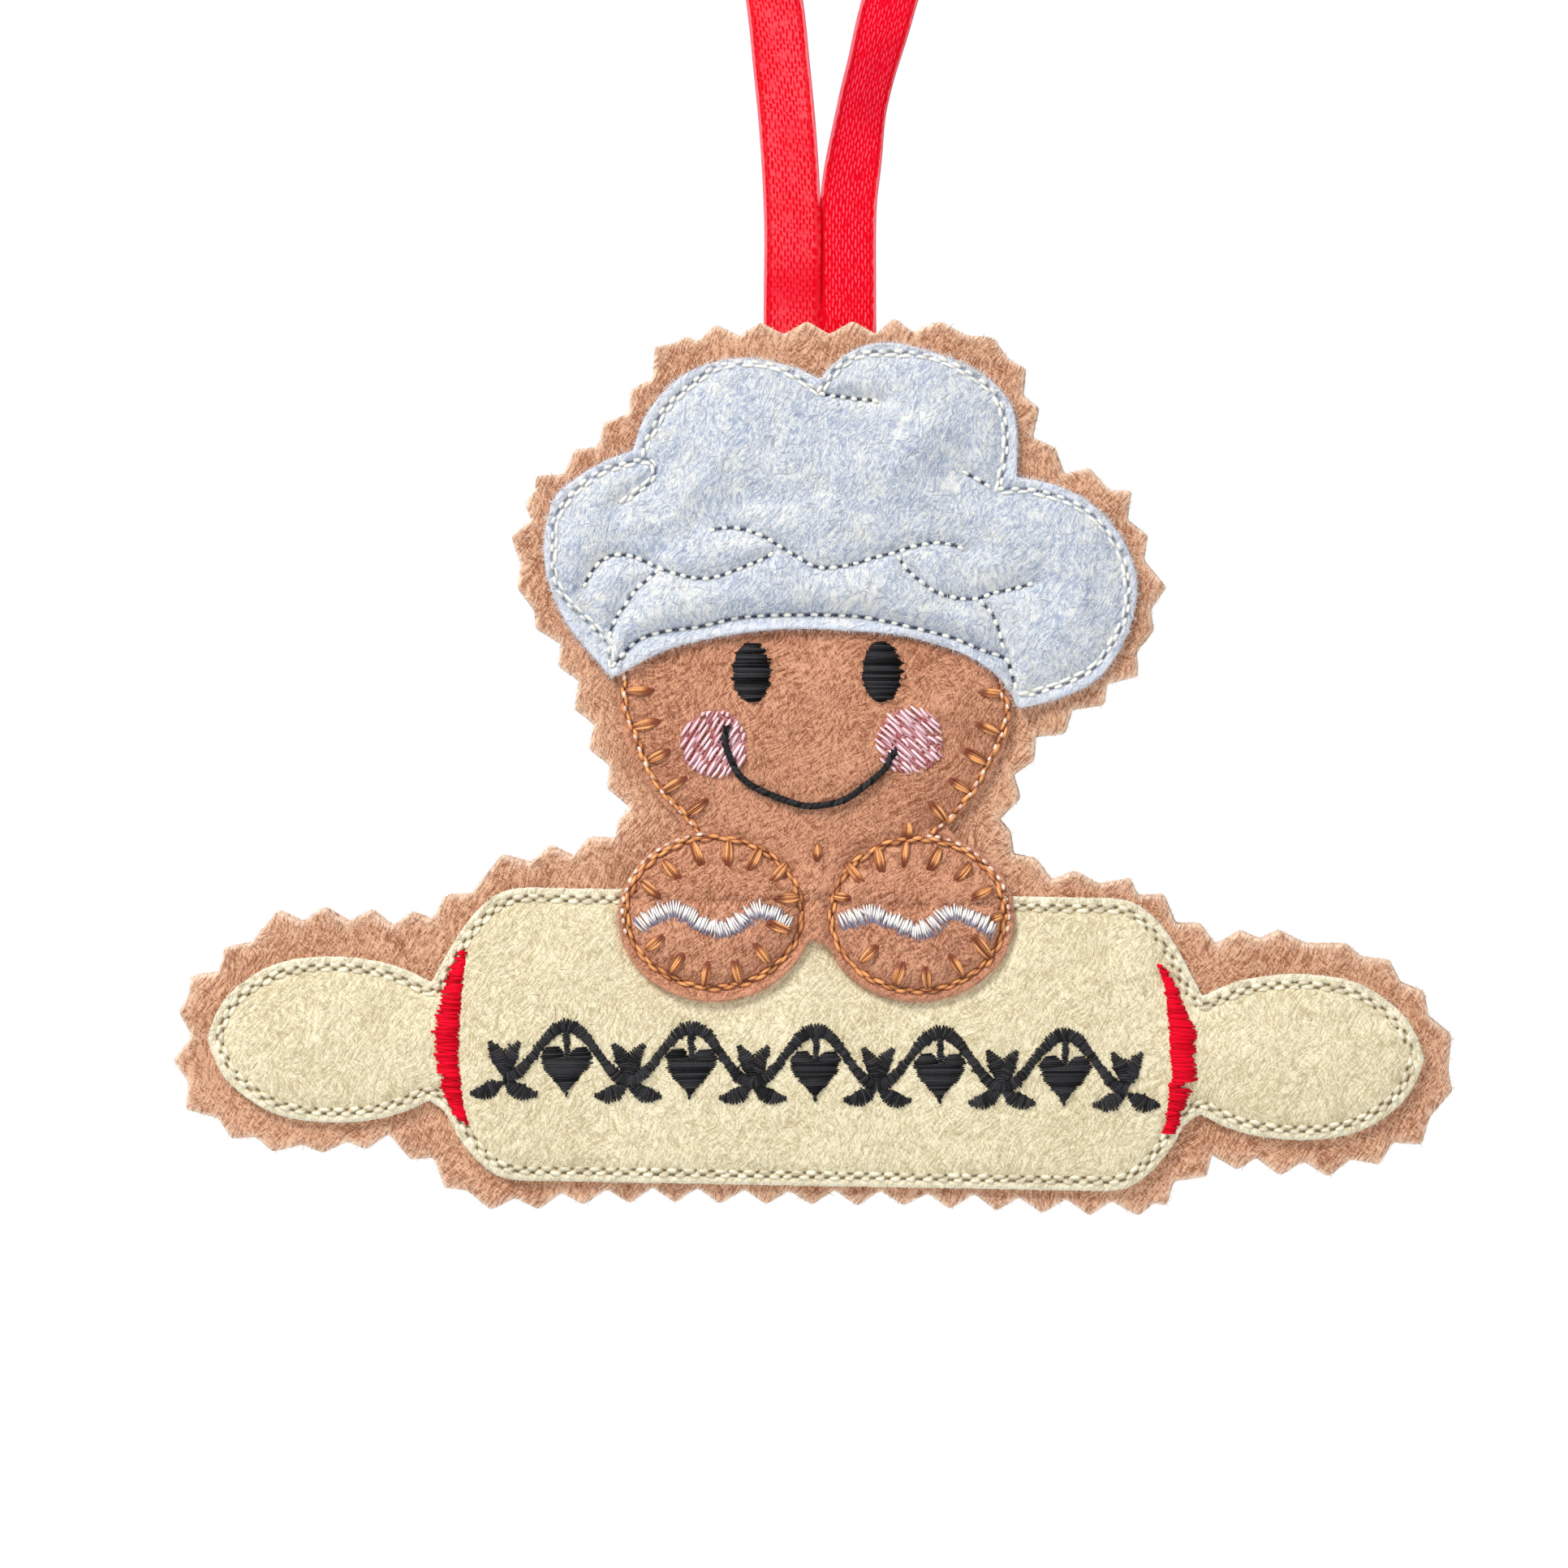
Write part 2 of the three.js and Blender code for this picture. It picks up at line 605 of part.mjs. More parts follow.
// Height of a triangulated surface over a point
function heightOver(mesh, heights, p) {
  for (const face of mesh.faces) {
    const [a, b, c] = face.map((k) => mesh.points[k]);
    const area = (b.x - a.x) * (c.y - a.y) - (b.y - a.y) * (c.x - a.x);
    const u = ((p.x - a.x) * (c.y - a.y) - (p.y - a.y) * (c.x - a.x)) / area;
    const v = ((b.x - a.x) * (p.y - a.y) - (b.y - a.y) * (p.x - a.x)) / area;
    if (u >= 0 && v >= 0 && u + v <= 1) {
      return heights[face[0]] * (1 - u - v) + heights[face[1]] * u + heights[face[2]] * v;
    }
  }
  return null;
}

// Felt pieces: drawn down where they are stitched, risen between the stitches

function quilted(p, piece) {
  const inside = -reach(p, piece.outline);
  const toSeam = Math.abs(inside - stitchInset);
  if (inside < stitchInset) {
    const share = Math.min(1, toSeam / stitchInset);
    return THREE.MathUtils.lerp(stitchedThickness, feltThickness, share);
  }
  const toStitch = Math.min(toSeam, ...piece.folds.map((fold) => distanceToRun(p, fold, false)));
  const risen = (distance) => 1 - Math.exp(-((toStitch / distance) ** 2));
  const loft = (feltThickness - stitchedThickness) * risen(grooveReach);
  return stitchedThickness + loft + piece.puff * risen(puffReach);
}

// Height of the seat under a piece: the front felt, or a lower piece and a slope down from it
function seatHeight(p, lower) {
  if (!lower) return pieceSeat;
  const out = Math.max(0, reach(p, lower.outline));
  const share = 1 - THREE.MathUtils.smoothstep(out, clearance, drapeReach);
  const height = out > 0 ? lower.edgeHeight(p) : lower.height(p);
  return THREE.MathUtils.lerp(pieceSeat, height + clearance, share);
}

function feltPiece({ outline, folds, puff, spacing, lower }) {
  const piece = { outline, folds, puff };
  piece.height = (p) => seatHeight(p, lower) + quilted(p, piece);
  piece.edgeHeight = (p) => seatHeight(p, lower) + feltThickness;
  const stitching = pushedOut(outline, () => -stitchInset);
  const lowerRows = lower ? [lower.outline, pushedOut(lower.outline, () => drapeReach)] : [];
  const rows = [stitching, ...folds, ...lowerRows.map((row) => (
    row.filter((p) => reach(p, outline) < -stitchInset)))];
  piece.mesh = meshed(outline, rows, spacing);
  piece.heights = piece.mesh.points.map(piece.height);
  piece.geometry = slab(piece.mesh, piece.heights, pieceSeat);
  if (lower) {
    piece.geometry = geometryOf(solidOf(piece.geometry).subtract(solidOf(swollen(lower))));
  }
  return piece;
}

// The room that a lower piece needs under the one that lies over it
function swollen(piece) {
  const grown = pushedOut(piece.outline, () => clearance);
  const points = piece.mesh.points.map((p, k) => grown[k] ?? p);
  const heights = piece.heights.map((height) => height + clearance);
  return slab({ ...piece.mesh, points }, heights, pieceSeat - overrun);
}

// Satin stitch and thread fill: a crowned pad that follows the felt under it
function threadPad(outline, carriers, thickness) {
  const mesh = meshed(outline, [], padSpacing);
  const under = (p) => Math.max(...carriers.map((carrier) => (
    heightOver(carrier.mesh, carrier.heights, p) ?? 0)));
  const back = mesh.points.map((p) => under(p) + clearance);
  const heights = mesh.points.map((p, k) => {
    const inside = Math.max(0, -reach(p, outline));
    const crown = 1 - Math.exp(-inside / thickness);
    return back[k] + THREE.MathUtils.lerp(thickness / 2, thickness, crown);
  });
  return { mesh, heights, geometry: slab(mesh, heights, back) };
}

// A line of even width along a run of points, with blunt ends
function stroke(run, width) {
  const side = (sign) => run.map((p, i) => {
    const a = run[Math.max(0, i - 1)];
    const b = run[Math.min(run.length - 1, i + 1)];
    const normal = point(b.y - a.y, a.x - b.x).normalize();
    return p.clone().addScaledVector(normal, (sign * width) / 2);
  });
  return [...side(1), ...side(-1).reverse()];
}

// Ribbon: a thin strip whose face turns outwards towards the top of the loop
function ribbonStrip(route) {
  const half = point(ribbonWidth / 2, ribbonThickness / 2);
  const positions = [];
  const triangles = [];
  route.forEach((p, i) => {
    const a = route[Math.max(0, i - 1)];
    const b = route[Math.min(route.length - 1, i + 1)];
    const along = new THREE.Vector3(b.x - a.x, 0, b.y - a.y).normalize();
    const turned = THREE.MathUtils.smoothstep(p.y, -twistBottom, -twistTop) * (Math.PI / 2);
    const across = new THREE.Vector3(along.z, 0, -along.x)
      .multiplyScalar(Math.cos(turned))
      .add(new THREE.Vector3(0, -Math.sin(turned), 0));
    const face = new THREE.Vector3().crossVectors(across, along);
    [[-1, -1], [1, -1], [1, 1], [-1, 1]].forEach(([u, v]) => {
      const corner = new THREE.Vector3(p.x, 0, p.y)
        .addScaledVector(across, u * half.x)
        .addScaledVector(face, v * half.y);
      positions.push(...corner.toArray());
    });
    if (i === 0) return;
    for (let k = 0; k < 4; k += 1) {
      const low = [(i - 1) * 4 + k, (i - 1) * 4 + ((k + 1) % 4)];
      const high = low.map((corner) => corner + 4);
      triangles.push(low[0], high[0], low[1], low[1], high[0], high[1]);
    }
  });
  const last = (route.length - 1) * 4;
  triangles.push(0, 1, 2, 0, 2, 3);
  triangles.push(last, last + 2, last + 1, last, last + 3, last + 2);
  return indexed(positions, triangles);
}

function loopRoute() {
  const arch = Array.from({ length: archTurns + 1 }, (_, i) => {
    const turn = Math.PI * (1 - i / archTurns);
    const radius = archRadius + ribbonThickness / 2;
    return point(archOffset + radius * Math.cos(turn), radius * Math.sin(turn) - archRadius);
  });
  const end = foldHeight + foldGap / 2;
  return spline([
    point(-strandOffset, end),
    ...leftStrand.map((p) => point(...p)),
    ...arch,
    ...rightStrand.map((p) => point(...p)),
    point(strandOffset, end),
  ], ribbonStep);
}

function tailRoute(side) {
  const x = side * strandOffset;
  return [point(x, feltTop - tailLength), point(x, feltTop), point(x, foldHeight - foldGap / 2)];
}

// The pieces

const pinFelt = feltPiece({ outline: pinOutline, folds: [], puff: pinPuff, spacing: pinSpacing });
const figureFelt = feltPiece({
  outline: figureOutline,
  folds: [],
  puff: gingerbreadPuff,
  spacing: figureSpacing,
  lower: pinFelt,
});
const hatFelt = feltPiece({
  outline: hatOutline,
  folds: hatFolds,
  puff: hatPuff,
  spacing: hatSpacing,
  lower: figureFelt,
});

function eye(side) {
  const centre = point(headCentre.x + (side * eyeSpacing) / 2, headCentre.y + eyeRise);
  return threadPad(ellipse(centre, eyeWidth, eyeHeight, padSpacing), [figureFelt], threadPadThickness);
}

function cheek(side) {
  const centre = point(headCentre.x + faceOffset + (side * cheekSpacing) / 2, headCentre.y - cheekDrop);
  const disc = ellipse(centre, cheekDiameter, cheekDiameter, padSpacing);
  return threadPad(disc, [figureFelt], cheekThickness);
}

const cheeks = [-1, 1].map(cheek);

function smile() {
  const steps = Math.round(smileWidth / padSpacing);
  const run = Array.from({ length: steps + 1 }, (_, i) => {
    const turn = Math.PI + (smileSweep * i) / steps;
    return point(
      headCentre.x + faceOffset + (smileWidth / 2) * Math.cos(turn),
      headCentre.y - smileDrop + smileDepth * Math.sin(turn),
    );
  });
  return threadPad(stroke(run, smileThread), [figureFelt, ...cheeks], threadPadThickness);
}

function icing(centre) {
  const steps = Math.round(icingLength / padSpacing);
  const run = Array.from({ length: steps + 1 }, (_, i) => {
    const x = (i / steps - 1 / 2) * icingLength;
    const wave = (icingWave / 2) * Math.cos((x / icingPitch) * Math.PI * 2);
    return point(centre.x + x, centre.y - icingDrop - wave);
  });
  return threadPad(stroke(run, icingWidth), [figureFelt], threadPadThickness);
}

function band(side) {
  const steps = Math.round(bandLength / padSpacing);
  const inner = barrelLength / 2 - bandWidth + bandInset - handleDrop;
  const run = (bulge) => Array.from({ length: steps + 1 }, (_, i) => {
    const along = i / steps - 1 / 2;
    const crown = 1 - 4 * along ** 2;
    const x = side * (inner + bulge * crown);
    return onPin(point(x, side * along * bandLength - handleDrop));
  });
  const outline = [...run(bandWidth), ...run(0).slice(1, -1).reverse()];
  return threadPad(outline, [pinFelt], threadPadThickness);
}

const tailRoom = rectangle(
  -seatHalf - clearance,
  seatHalf + clearance,
  feltTop - tailLength - clearance,
  feltTop + overrun,
);
const stiffened = contour(
  (p) => blendedLeast([
    reach(p, hatOutline),
    reach(p, figureOutline),
    reach(p, pinOutline),
  ], edgeBlend),
  bounds([hatOutline, figureOutline, pinOutline], overrun),
  contourStep,
);
const stabiliser = solidOf(flatSheet(
  evenly(stiffened, Math.round(perimeter(stiffened) / outlineSpacing)),
  -stabiliserThickness / 2,
  stabiliserThickness / 2,
)).subtract(solidOf(flatSheet(tailRoom, -sheetGap, sheetGap)));

// The scene graph: every piece in its own colour

const group = new THREE.Group();

function place(name, geometry, color, roughness) {
  const material = new THREE.MeshStandardMaterial({ color, roughness, metalness: 0 });
  const mesh = new THREE.Mesh(geometry, material);
  mesh.name = name;
  group.add(mesh);
}

const feltRoughness = 0.95;
const threadRoughness = 0.45;
const satinRoughness = 0.35;
const tan = '#cda082';
const brown = '#be8769';
const paleBlue = '#c8d5e8';
const cream = '#e4dab9';
const red = '#e62a38';
const deepRed = '#dc1432';
const black = '#1e1e20';
const pink = '#e8a9bb';
const white = '#f5f0eb';

place('ribbon_loop', ribbonStrip(loopRoute()), red, satinRoughness);
place('ribbon_tail_left', ribbonStrip(tailRoute(-1)), red, satinRoughness);
place('ribbon_tail_right', ribbonStrip(tailRoute(1)), red, satinRoughness);
place('front_felt', flatSheet(pinkedOutline, sheetGap, frontFace), tan, feltRoughness);
place('back_felt', flatSheet(pinkedOutline, -frontFace, -sheetGap), tan, feltRoughness);
place('stabiliser_sheet', geometryOf(stabiliser), white, feltRoughness);
place('rolling_pin_felt', pinFelt.geometry, cream, feltRoughness);
place('gingerbread_felt', figureFelt.geometry, brown, feltRoughness);
place('hat_felt', hatFelt.geometry, paleBlue, feltRoughness);
place('eye_left', eye(-1).geometry, black, threadRoughness);
place('eye_right', eye(1).geometry, black, threadRoughness);
place('cheek_left', cheeks[0].geometry, pink, threadRoughness);
place('cheek_right', cheeks[1].geometry, pink, threadRoughness);
place('smile', smile().geometry, black, threadRoughness);
place('icing_left', icing(pawCentres[0]).geometry, white, threadRoughness);
place('icing_right', icing(pawCentres[1]).geometry, white, threadRoughness);
place('pin_band_left', band(-1).geometry, deepRed, threadRoughness);
place('pin_band_right', band(1).geometry, deepRed, threadRoughness);

export default group;
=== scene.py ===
import math

import bpy
import numpy as np
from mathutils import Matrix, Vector, kdtree
from mathutils.geometry import delaunay_2d_cdt


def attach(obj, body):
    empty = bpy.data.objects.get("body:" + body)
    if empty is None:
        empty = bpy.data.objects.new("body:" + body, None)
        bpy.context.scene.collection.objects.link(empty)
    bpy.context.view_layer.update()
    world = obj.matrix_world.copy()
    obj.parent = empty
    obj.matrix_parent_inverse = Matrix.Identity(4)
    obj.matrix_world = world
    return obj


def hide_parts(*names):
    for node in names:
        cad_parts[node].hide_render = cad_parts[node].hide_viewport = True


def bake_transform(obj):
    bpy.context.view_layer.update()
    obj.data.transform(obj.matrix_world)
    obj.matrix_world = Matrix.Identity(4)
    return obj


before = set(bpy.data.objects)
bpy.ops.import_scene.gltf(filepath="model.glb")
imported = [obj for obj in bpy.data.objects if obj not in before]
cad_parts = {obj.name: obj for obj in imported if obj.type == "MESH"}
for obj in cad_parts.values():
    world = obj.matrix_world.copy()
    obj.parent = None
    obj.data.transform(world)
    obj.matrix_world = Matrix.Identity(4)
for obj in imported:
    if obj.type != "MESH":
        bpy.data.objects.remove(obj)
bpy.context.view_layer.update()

# The view. It looks square on through a long lens, half a metre away. One pixel of the 1932
# across the picture covers 0.09 mm of embroidery, and the ribbon runs out of its top edge.
pixel_size = 0.00009
picture_width = 1932 * pixel_size
picture_middle = (-0.00405, -0.11295)
embroidery_plane = -0.003

view = bpy.data.objects.new("view", bpy.data.cameras.new("view"))
view.data.lens = 110
view.data.sensor_width = 36
view_distance = picture_width * view.data.lens / view.data.sensor_width
view.location = (picture_middle[0], embroidery_plane - view_distance, picture_middle[1])
view.rotation_euler = (math.pi / 2, 0, 0)
bpy.context.scene.collection.objects.link(view)
bpy.context.scene.camera = view
bpy.context.scene.view_settings.view_transform = "Standard"


# The light and the floor. A large soft lamp stands above and to the left, a weaker one to the
# right, and a third lights the back. The room is pale, and so is the plain floor below.
class Wire:
    """A node's output. Sums, products and quotients of wires add Math nodes to their tree."""

    def __init__(self, tree, socket=None):
        self.tree = tree
        self.socket = socket

    def node(self, kind, settings=None, sockets=None, out=0):
        """A node of this kind: its settings first, then its sockets' values and wires."""
        made = self.tree.nodes.new(kind)
        for name, value in (settings or {}).items():
            setattr(made, name, value)
        for name, value in (sockets or {}).items():
            if isinstance(value, Wire):
                self.tree.links.new(value.socket, made.inputs[name])
            else:
                made.inputs[name].default_value = value
        return Wire(self.tree, made.outputs[out])

    def maths(self, operation, *values):
        return self.node("ShaderNodeMath", {"operation": operation}, dict(enumerate(values)))

    def __add__(self, other):
        return self.maths("ADD", self, other)

    def __sub__(self, other):
        return self.maths("SUBTRACT", self, other)

    def __rsub__(self, other):
        return self.maths("SUBTRACT", other, self)

    def __mul__(self, other):
        return self.maths("MULTIPLY", self, other)

    def __truediv__(self, other):
        return self.maths("DIVIDE", self, other)

    __radd__ = __add__
    __rmul__ = __mul__

    def rise(self, low, high):
        """0 below low, 1 above high and smooth between; falls instead if high is the lower."""
        settings = {"interpolation_type": "SMOOTHSTEP"}
        return self.node("ShaderNodeMapRange", settings, {0: self, 1: low, 2: high})

    def mark(self, name, out="Fac"):
        """What the mesh holds at its points under this name."""
        return self.node("ShaderNodeAttribute", {"attribute_name": name}, out=out)

    def mixed(self, first, second):
        """The first colour where this wire is 0 and the second where it is 1. Each is a wire, or
        red, green and blue as a screen shows them, 0 to 255."""
        ends = [end if isinstance(end, Wire) else colour(*end) for end in (first, second)]
        sockets = {0: self, 6: ends[0], 7: ends[1]}
        return self.node("ShaderNodeMix", {"data_type": "RGBA"}, sockets, out=2)

    def blotches(self, size, detail=2, roughness=0.5, distortion=0.0):
        """Cloudy noise between 0 and 1 whose blotches are about this many metres across."""
        at = self.node("ShaderNodeTexCoord", out="Object")
        sockets = {"Vector": at, "Scale": 1 / size, "Detail": detail, "Roughness": roughness}
        sockets["Distortion"] = distortion
        return self.node("ShaderNodeTexNoise", None, sockets)

    def streaks(self, width, length, lean, detail=1.5):
        """Noise drawn out into wisps this wide and long. They lean to the right of upright by
        this angle, seen from the front, and a slow noise bends them."""
        at = self.node("ShaderNodeTexCoord", out="Object")
        slow = {"Vector": at, "Scale": 150.0, "Detail": 1.0}
        slow = self.node("ShaderNodeTexNoise", None, slow, out=1)
        bend = 0.005
        bent = {0: slow, 1: (bend, bend, bend), 2: at}
        bent = self.node("ShaderNodeVectorMath", {"operation": "MULTIPLY_ADD"}, bent)
        laid = self.node(
            "ShaderNodeMapping",
            {"vector_type": "TEXTURE"},
            {"Vector": bent, "Rotation": (0, lean, 0), "Scale": (width, length, length)},
        )
        sockets = {"Vector": laid, "Scale": 1.0, "Detail": detail, "Roughness": 0.6}
        return self.node("ShaderNodeTexNoise", None, sockets)


def colour(red, green, blue):
    """A colour as a screen shows it, 0 to 255, in the linear values that shaders take."""
    shares = np.array([red, green, blue]) / 255
    linear = np.where(shares <= 0.04045, shares / 12.92, ((shares + 0.055) / 1.055) ** 2.4)
    return (*linear.tolist(), 1.0)


def finish(name, constants):
    """A new material with its Principled shader, and a wire to start its patterns from."""
    made = bpy.data.materials.new(name)
    made.use_nodes = True
    shader = made.node_tree.nodes["Principled BSDF"]
    for socket, value in constants.items():
        shader.inputs[socket].default_value = value
    return made, shader, Wire(made.node_tree)


def drive(shader, socket, wire):
    wire.tree.links.new(wire.socket, shader.inputs[socket])


def raised(wire, distance, strength):
    """The normal of a surface whose relief this wire gives, distance metres from low to high."""
    sockets = {"Height": wire, "Distance": distance, "Strength": strength}
    return wire.node("ShaderNodeBump", None, sockets)


def lamp(name, place, power, size, tint=(1.0, 1.0, 1.0)):
    """A square lamp, its power in watts and its size in metres, aimed at the decoration."""
    light = bpy.data.lights.new(name, "AREA")
    light.color = tint
    light.energy = power
    light.size = size
    stand = bpy.data.objects.new(name, light)
    stand.location = place
    aim = Vector((0, 0, picture_middle[1])) - stand.location
    stand.rotation_euler = aim.to_track_quat("-Z", "Y").to_euler()
    bpy.context.scene.collection.objects.link(stand)


lamp("key", (-0.4, -0.49, 0.5), power=6.85, size=0.3, tint=(1.0, 0.975, 0.945))
lamp("fill", (0.6, -0.55, -0.1), power=1.5, size=0.6)
lamp("rear", (-0.3, 0.7, 0.2), power=3.2, size=0.5)

room_light, room_tint = 0.345, (0.92, 0.965, 1.0, 1)
white = (1, 1, 1, 1)
room = bpy.data.worlds.new("pale room")
bpy.context.scene.world = room
room.use_nodes = True
room.node_tree.nodes.clear()
air = Wire(room.node_tree)
seen = air.node("ShaderNodeLightPath", out="Is Camera Ray")
for kind in ("Is Glossy Ray", "Is Transmission Ray"):
    seen = seen.maths("MAXIMUM", seen, air.node("ShaderNodeLightPath", out=kind))
shown = air.node("ShaderNodeBackground", None, {"Color": white, "Strength": 1.0})
lit = air.node("ShaderNodeBackground", None, {"Color": room_tint, "Strength": room_light})
both = air.node("ShaderNodeMixShader", None, {0: seen, 1: lit, 2: shown})
world_output = room.node_tree.nodes.new("ShaderNodeOutputWorld")
room.node_tree.links.new(both.socket, world_output.inputs["Surface"])

floor_level, floor_half, floor_glow = -0.3, 0.5, 0.6
floor_corners = [
    (x * floor_half, y * floor_half, floor_level)
    for x, y in ((-1, -1), (1, -1), (1, 1), (-1, 1))
]
floor_mesh = bpy.data.meshes.new("floor")
floor_mesh.from_pydata(floor_corners, [], [(0, 1, 2, 3)])
floor = bpy.data.objects.new("floor", floor_mesh)
bpy.context.scene.collection.objects.link(floor)
paint, shader, start = finish("pale floor", {"Roughness": 0.9})
drive(shader, "Base Color", start.blotches(0.2).mixed((243, 243, 243), (249, 249, 249)))
glow = start.node("ShaderNodeEmission", None, {"Color": white, "Strength": 1.0})
looked_at = start.node("ShaderNodeLightPath", out="Is Camera Ray") * floor_glow
painted = Wire(paint.node_tree, shader.outputs[0])
both = start.node("ShaderNodeMixShader", None, {0: looked_at, 1: painted, 2: glow})
paint.node_tree.links.new(both.socket, paint.node_tree.nodes["Material Output"].inputs["Surface"])
floor_mesh.materials.append(paint)


# The hanging ribbon. It is single-faced satin, 6.35 mm wide, one length folded into a loop. Its
# two ends are sewn in side by side between the felts; its face turns outwards up the loop.
# Lengths are in millimetres from here on, and become metres where a mesh is made.
def evenly(run, step):
    """The same run in even steps of about this length, with both its ends."""
    run = np.asarray(run, float)
    lengths = np.linalg.norm(np.diff(run, axis=0), axis=1)
    travelled = np.concatenate([[0], np.cumsum(lengths)])
    stops = np.linspace(0, travelled[-1], max(2, round(travelled[-1] / step) + 1))
    return np.stack([np.interp(stops, travelled, column) for column in run.T], 1)


def curve(points, step):
    """A smooth run through the points, in even steps along its length."""
    points = np.array(points, float)
    padded = np.vstack([points[:1] * 2 - points[1:2], points, points[-1:] * 2 - points[-2:-1]])
    share = np.linspace(0, 1, 12, endpoint=False)[:, None]
    runs = [
        (
            2 * b
            + (c - a) * share
            + (2 * a - 5 * b + 4 * c - d) * share**2
            + (3 * b - 3 * c + d - a) * share**3
        )
        / 2
        for a, b, c, d in zip(padded, padded[1:], padded[2:], padded[3:])
    ]
    return evenly(np.vstack([*runs, padded[-2:-1]]), step)


def smooth(values, low, high):
    """0 below low, 1 above high and smooth between; falls instead if high is the lower."""
    share = np.clip((values - low) / (high - low), 0, 1)
    return share * share * (3 - 2 * share)


def piece(name, points, faces, paint, marks, places=None):
    """A mesh object from points in millimetres and arrays of faces, with values on its points."""
    mesh = bpy.data.meshes.new(name)
    mesh.vertices.add(len(points))
    mesh.vertices.foreach_set("co", (np.asarray(points) * 0.001).astype(np.float32).ravel())
    corners = np.concatenate([group.ravel() for group in faces])
    sizes = np.concatenate([np.full(len(group), group.shape[1]) for group in faces])
    mesh.loops.add(len(corners))
    mesh.loops.foreach_set("vertex_index", corners.astype(np.int32))
    mesh.polygons.add(len(sizes))
    starts = np.concatenate([[0], np.cumsum(sizes)[:-1]])
    mesh.polygons.foreach_set("loop_start", starts.astype(np.int32))
    mesh.update(calc_edges=True)
    mesh.validate()
    mesh.polygons.foreach_set("use_smooth", np.ones(len(sizes), bool))
    for mark, values in marks.items():
        kind = "FLOAT" if np.ndim(values) == 1 else "FLOAT_VECTOR"
        attribute = mesh.attributes.new(mark, kind, "POINT")
        field = "value" if kind == "FLOAT" else "vector"
        attribute.data.foreach_set(field, np.asarray(values, np.float32).ravel())
    if places is not None:
        layer = mesh.uv_layers.new(name="OFBake")
        layer.uv.foreach_set("vector", places.astype(np.float32).ravel())
    mesh.materials.append(paint)
    made = bpy.data.objects.new(name, mesh)
    bpy.context.scene.collection.objects.link(made)
    return made


def satin_ribbon():
    """Satin: staggered flecks between the floats and pale woven selvedges, with painted light
    and shade. The left strand is painted paler, where it catches the light, and the right a
    deeper red; the mark painted_shade_and_light paints shade low on the left strand and a
    highlight on the upper right one. The mark weave holds millimetres across, along, and the
    strand."""
    paint, shader, start = finish("satin ribbon", {"Roughness": 0.6, "Specular IOR Level": 0.05})
    float_width, float_length = 0.36, 1.25
    weave, painted_shade_and_light = start.mark("weave", "Vector"), start.mark("painted_shade_and_light")
    across, along, strand = (
        start.node("ShaderNodeSeparateXYZ", None, {"Vector": weave}, out=k) for k in range(3)
    )
    column = across / float_width + (start.blotches(0.0011) - 0.5) * 1.3
    number = column.maths("FLOOR", column)
    row = along / float_length + number * 0.4 + column * 0.14
    row = row + (start.blotches(0.0022) - 0.5) * 1.6
    side = column.maths("PINGPONG", column, 0.5) * 2
    end = row.maths("PINGPONG", row, 0.5) * 2
    strong = start.blotches(0.0012).rise(0.25, 0.5)
    shade = side.rise(0.05, 0.5) * end.rise(0.12, 0.45) * strong
    gleam = side.rise(0.45, 0.85) * end.rise(0.15, 0.6) * strong
    light = shade.mixed((239, 80, 92), (228, 0, 26))
    low = shade.mixed((236, 46, 66), (222, 0, 24))
    deep = gleam.mixed((229, 0, 30), (246, 88, 102))
    high = gleam.mixed((252, 0, 40), (255, 92, 110))
    # Painted light and shade: the left strand in its paler lit style, the right in its deeper red,
    # each shifted by the painted shade and highlight mark.
    cloth = strand.mixed(painted_shade_and_light.mixed(light, low), painted_shade_and_light.mixed(deep, high))
    cloth = (start.blotches(0.005).rise(0.4, 0.7) * 0.3).mixed(cloth, (230, 0, 30))
    rim = across.maths("ABSOLUTE", across) + (start.blotches(0.0008) - 0.5) * 0.3
    line = rim.rise(2.25, 2.5) * rim.rise(2.95, 2.75)
    cloth = (line * 0.7).mixed(cloth, (220, 0, 22))
    cloth = (rim.rise(2.8, 2.95) * 0.7).mixed(cloth, (246, 132, 142))
    cloth = (rim.rise(3.08, 3.17) * 0.5).mixed(cloth, (186, 84, 104))
    drive(shader, "Base Color", cloth)
    relief = side.rise(0.0, 0.6) - shade * 0.6
    drive(shader, "Normal", raised(relief, distance=0.00005, strength=0.4))
    return paint


ribbon_width, ribbon_thickness, ribbon_step = 6.35, 0.26, 0.8
arch_radius, arch_middle = 10.15, (0.6, -10)
left_strand = [
    (-3.1, -72.4), (-3.1, -67), (-3.14, -62), (-3.12, -57), (-3.08, -51), (-3.34, -44.5),
    (-3.78, -38.5), (-4.32, -33), (-5, -26.5), (-6.1, -21), (-7.5, -16), (-8.8, -12),
]
right_strand = [
    (10.3, -14), (9.6, -18.5), (8.7, -22.5), (7.6, -26.2), (6.1, -31.8), (4.8, -37),
    (3.98, -42), (3.24, -47), (3.04, -51), (3.04, -57), (3.06, -62), (3.1, -67), (3.1, -72.4),
]
arch = [
    (arch_middle[0] + arch_radius * math.cos(turn), arch_radius * math.sin(turn) + arch_middle[1])
    for turn in np.linspace(math.pi, 0, 9)
]
route = curve(left_strand + arch + right_strand, ribbon_step)
along = np.gradient(route, axis=0)
along /= np.linalg.norm(along, axis=1)[:, None]
level = route[:, 1]
going_up = np.arange(len(route)) < np.argmax(level)
# How far its face is turned outwards, in radians: slightly above the felts, fully at the top.
turned = smooth(level, -30, -7) * math.pi / 2
slant = smooth(level, -49, -37) * (1 - 0.4 * smooth(level, -34, -27))
turned = np.maximum(turned, np.where(going_up, 0.08, 0.54) * slant)
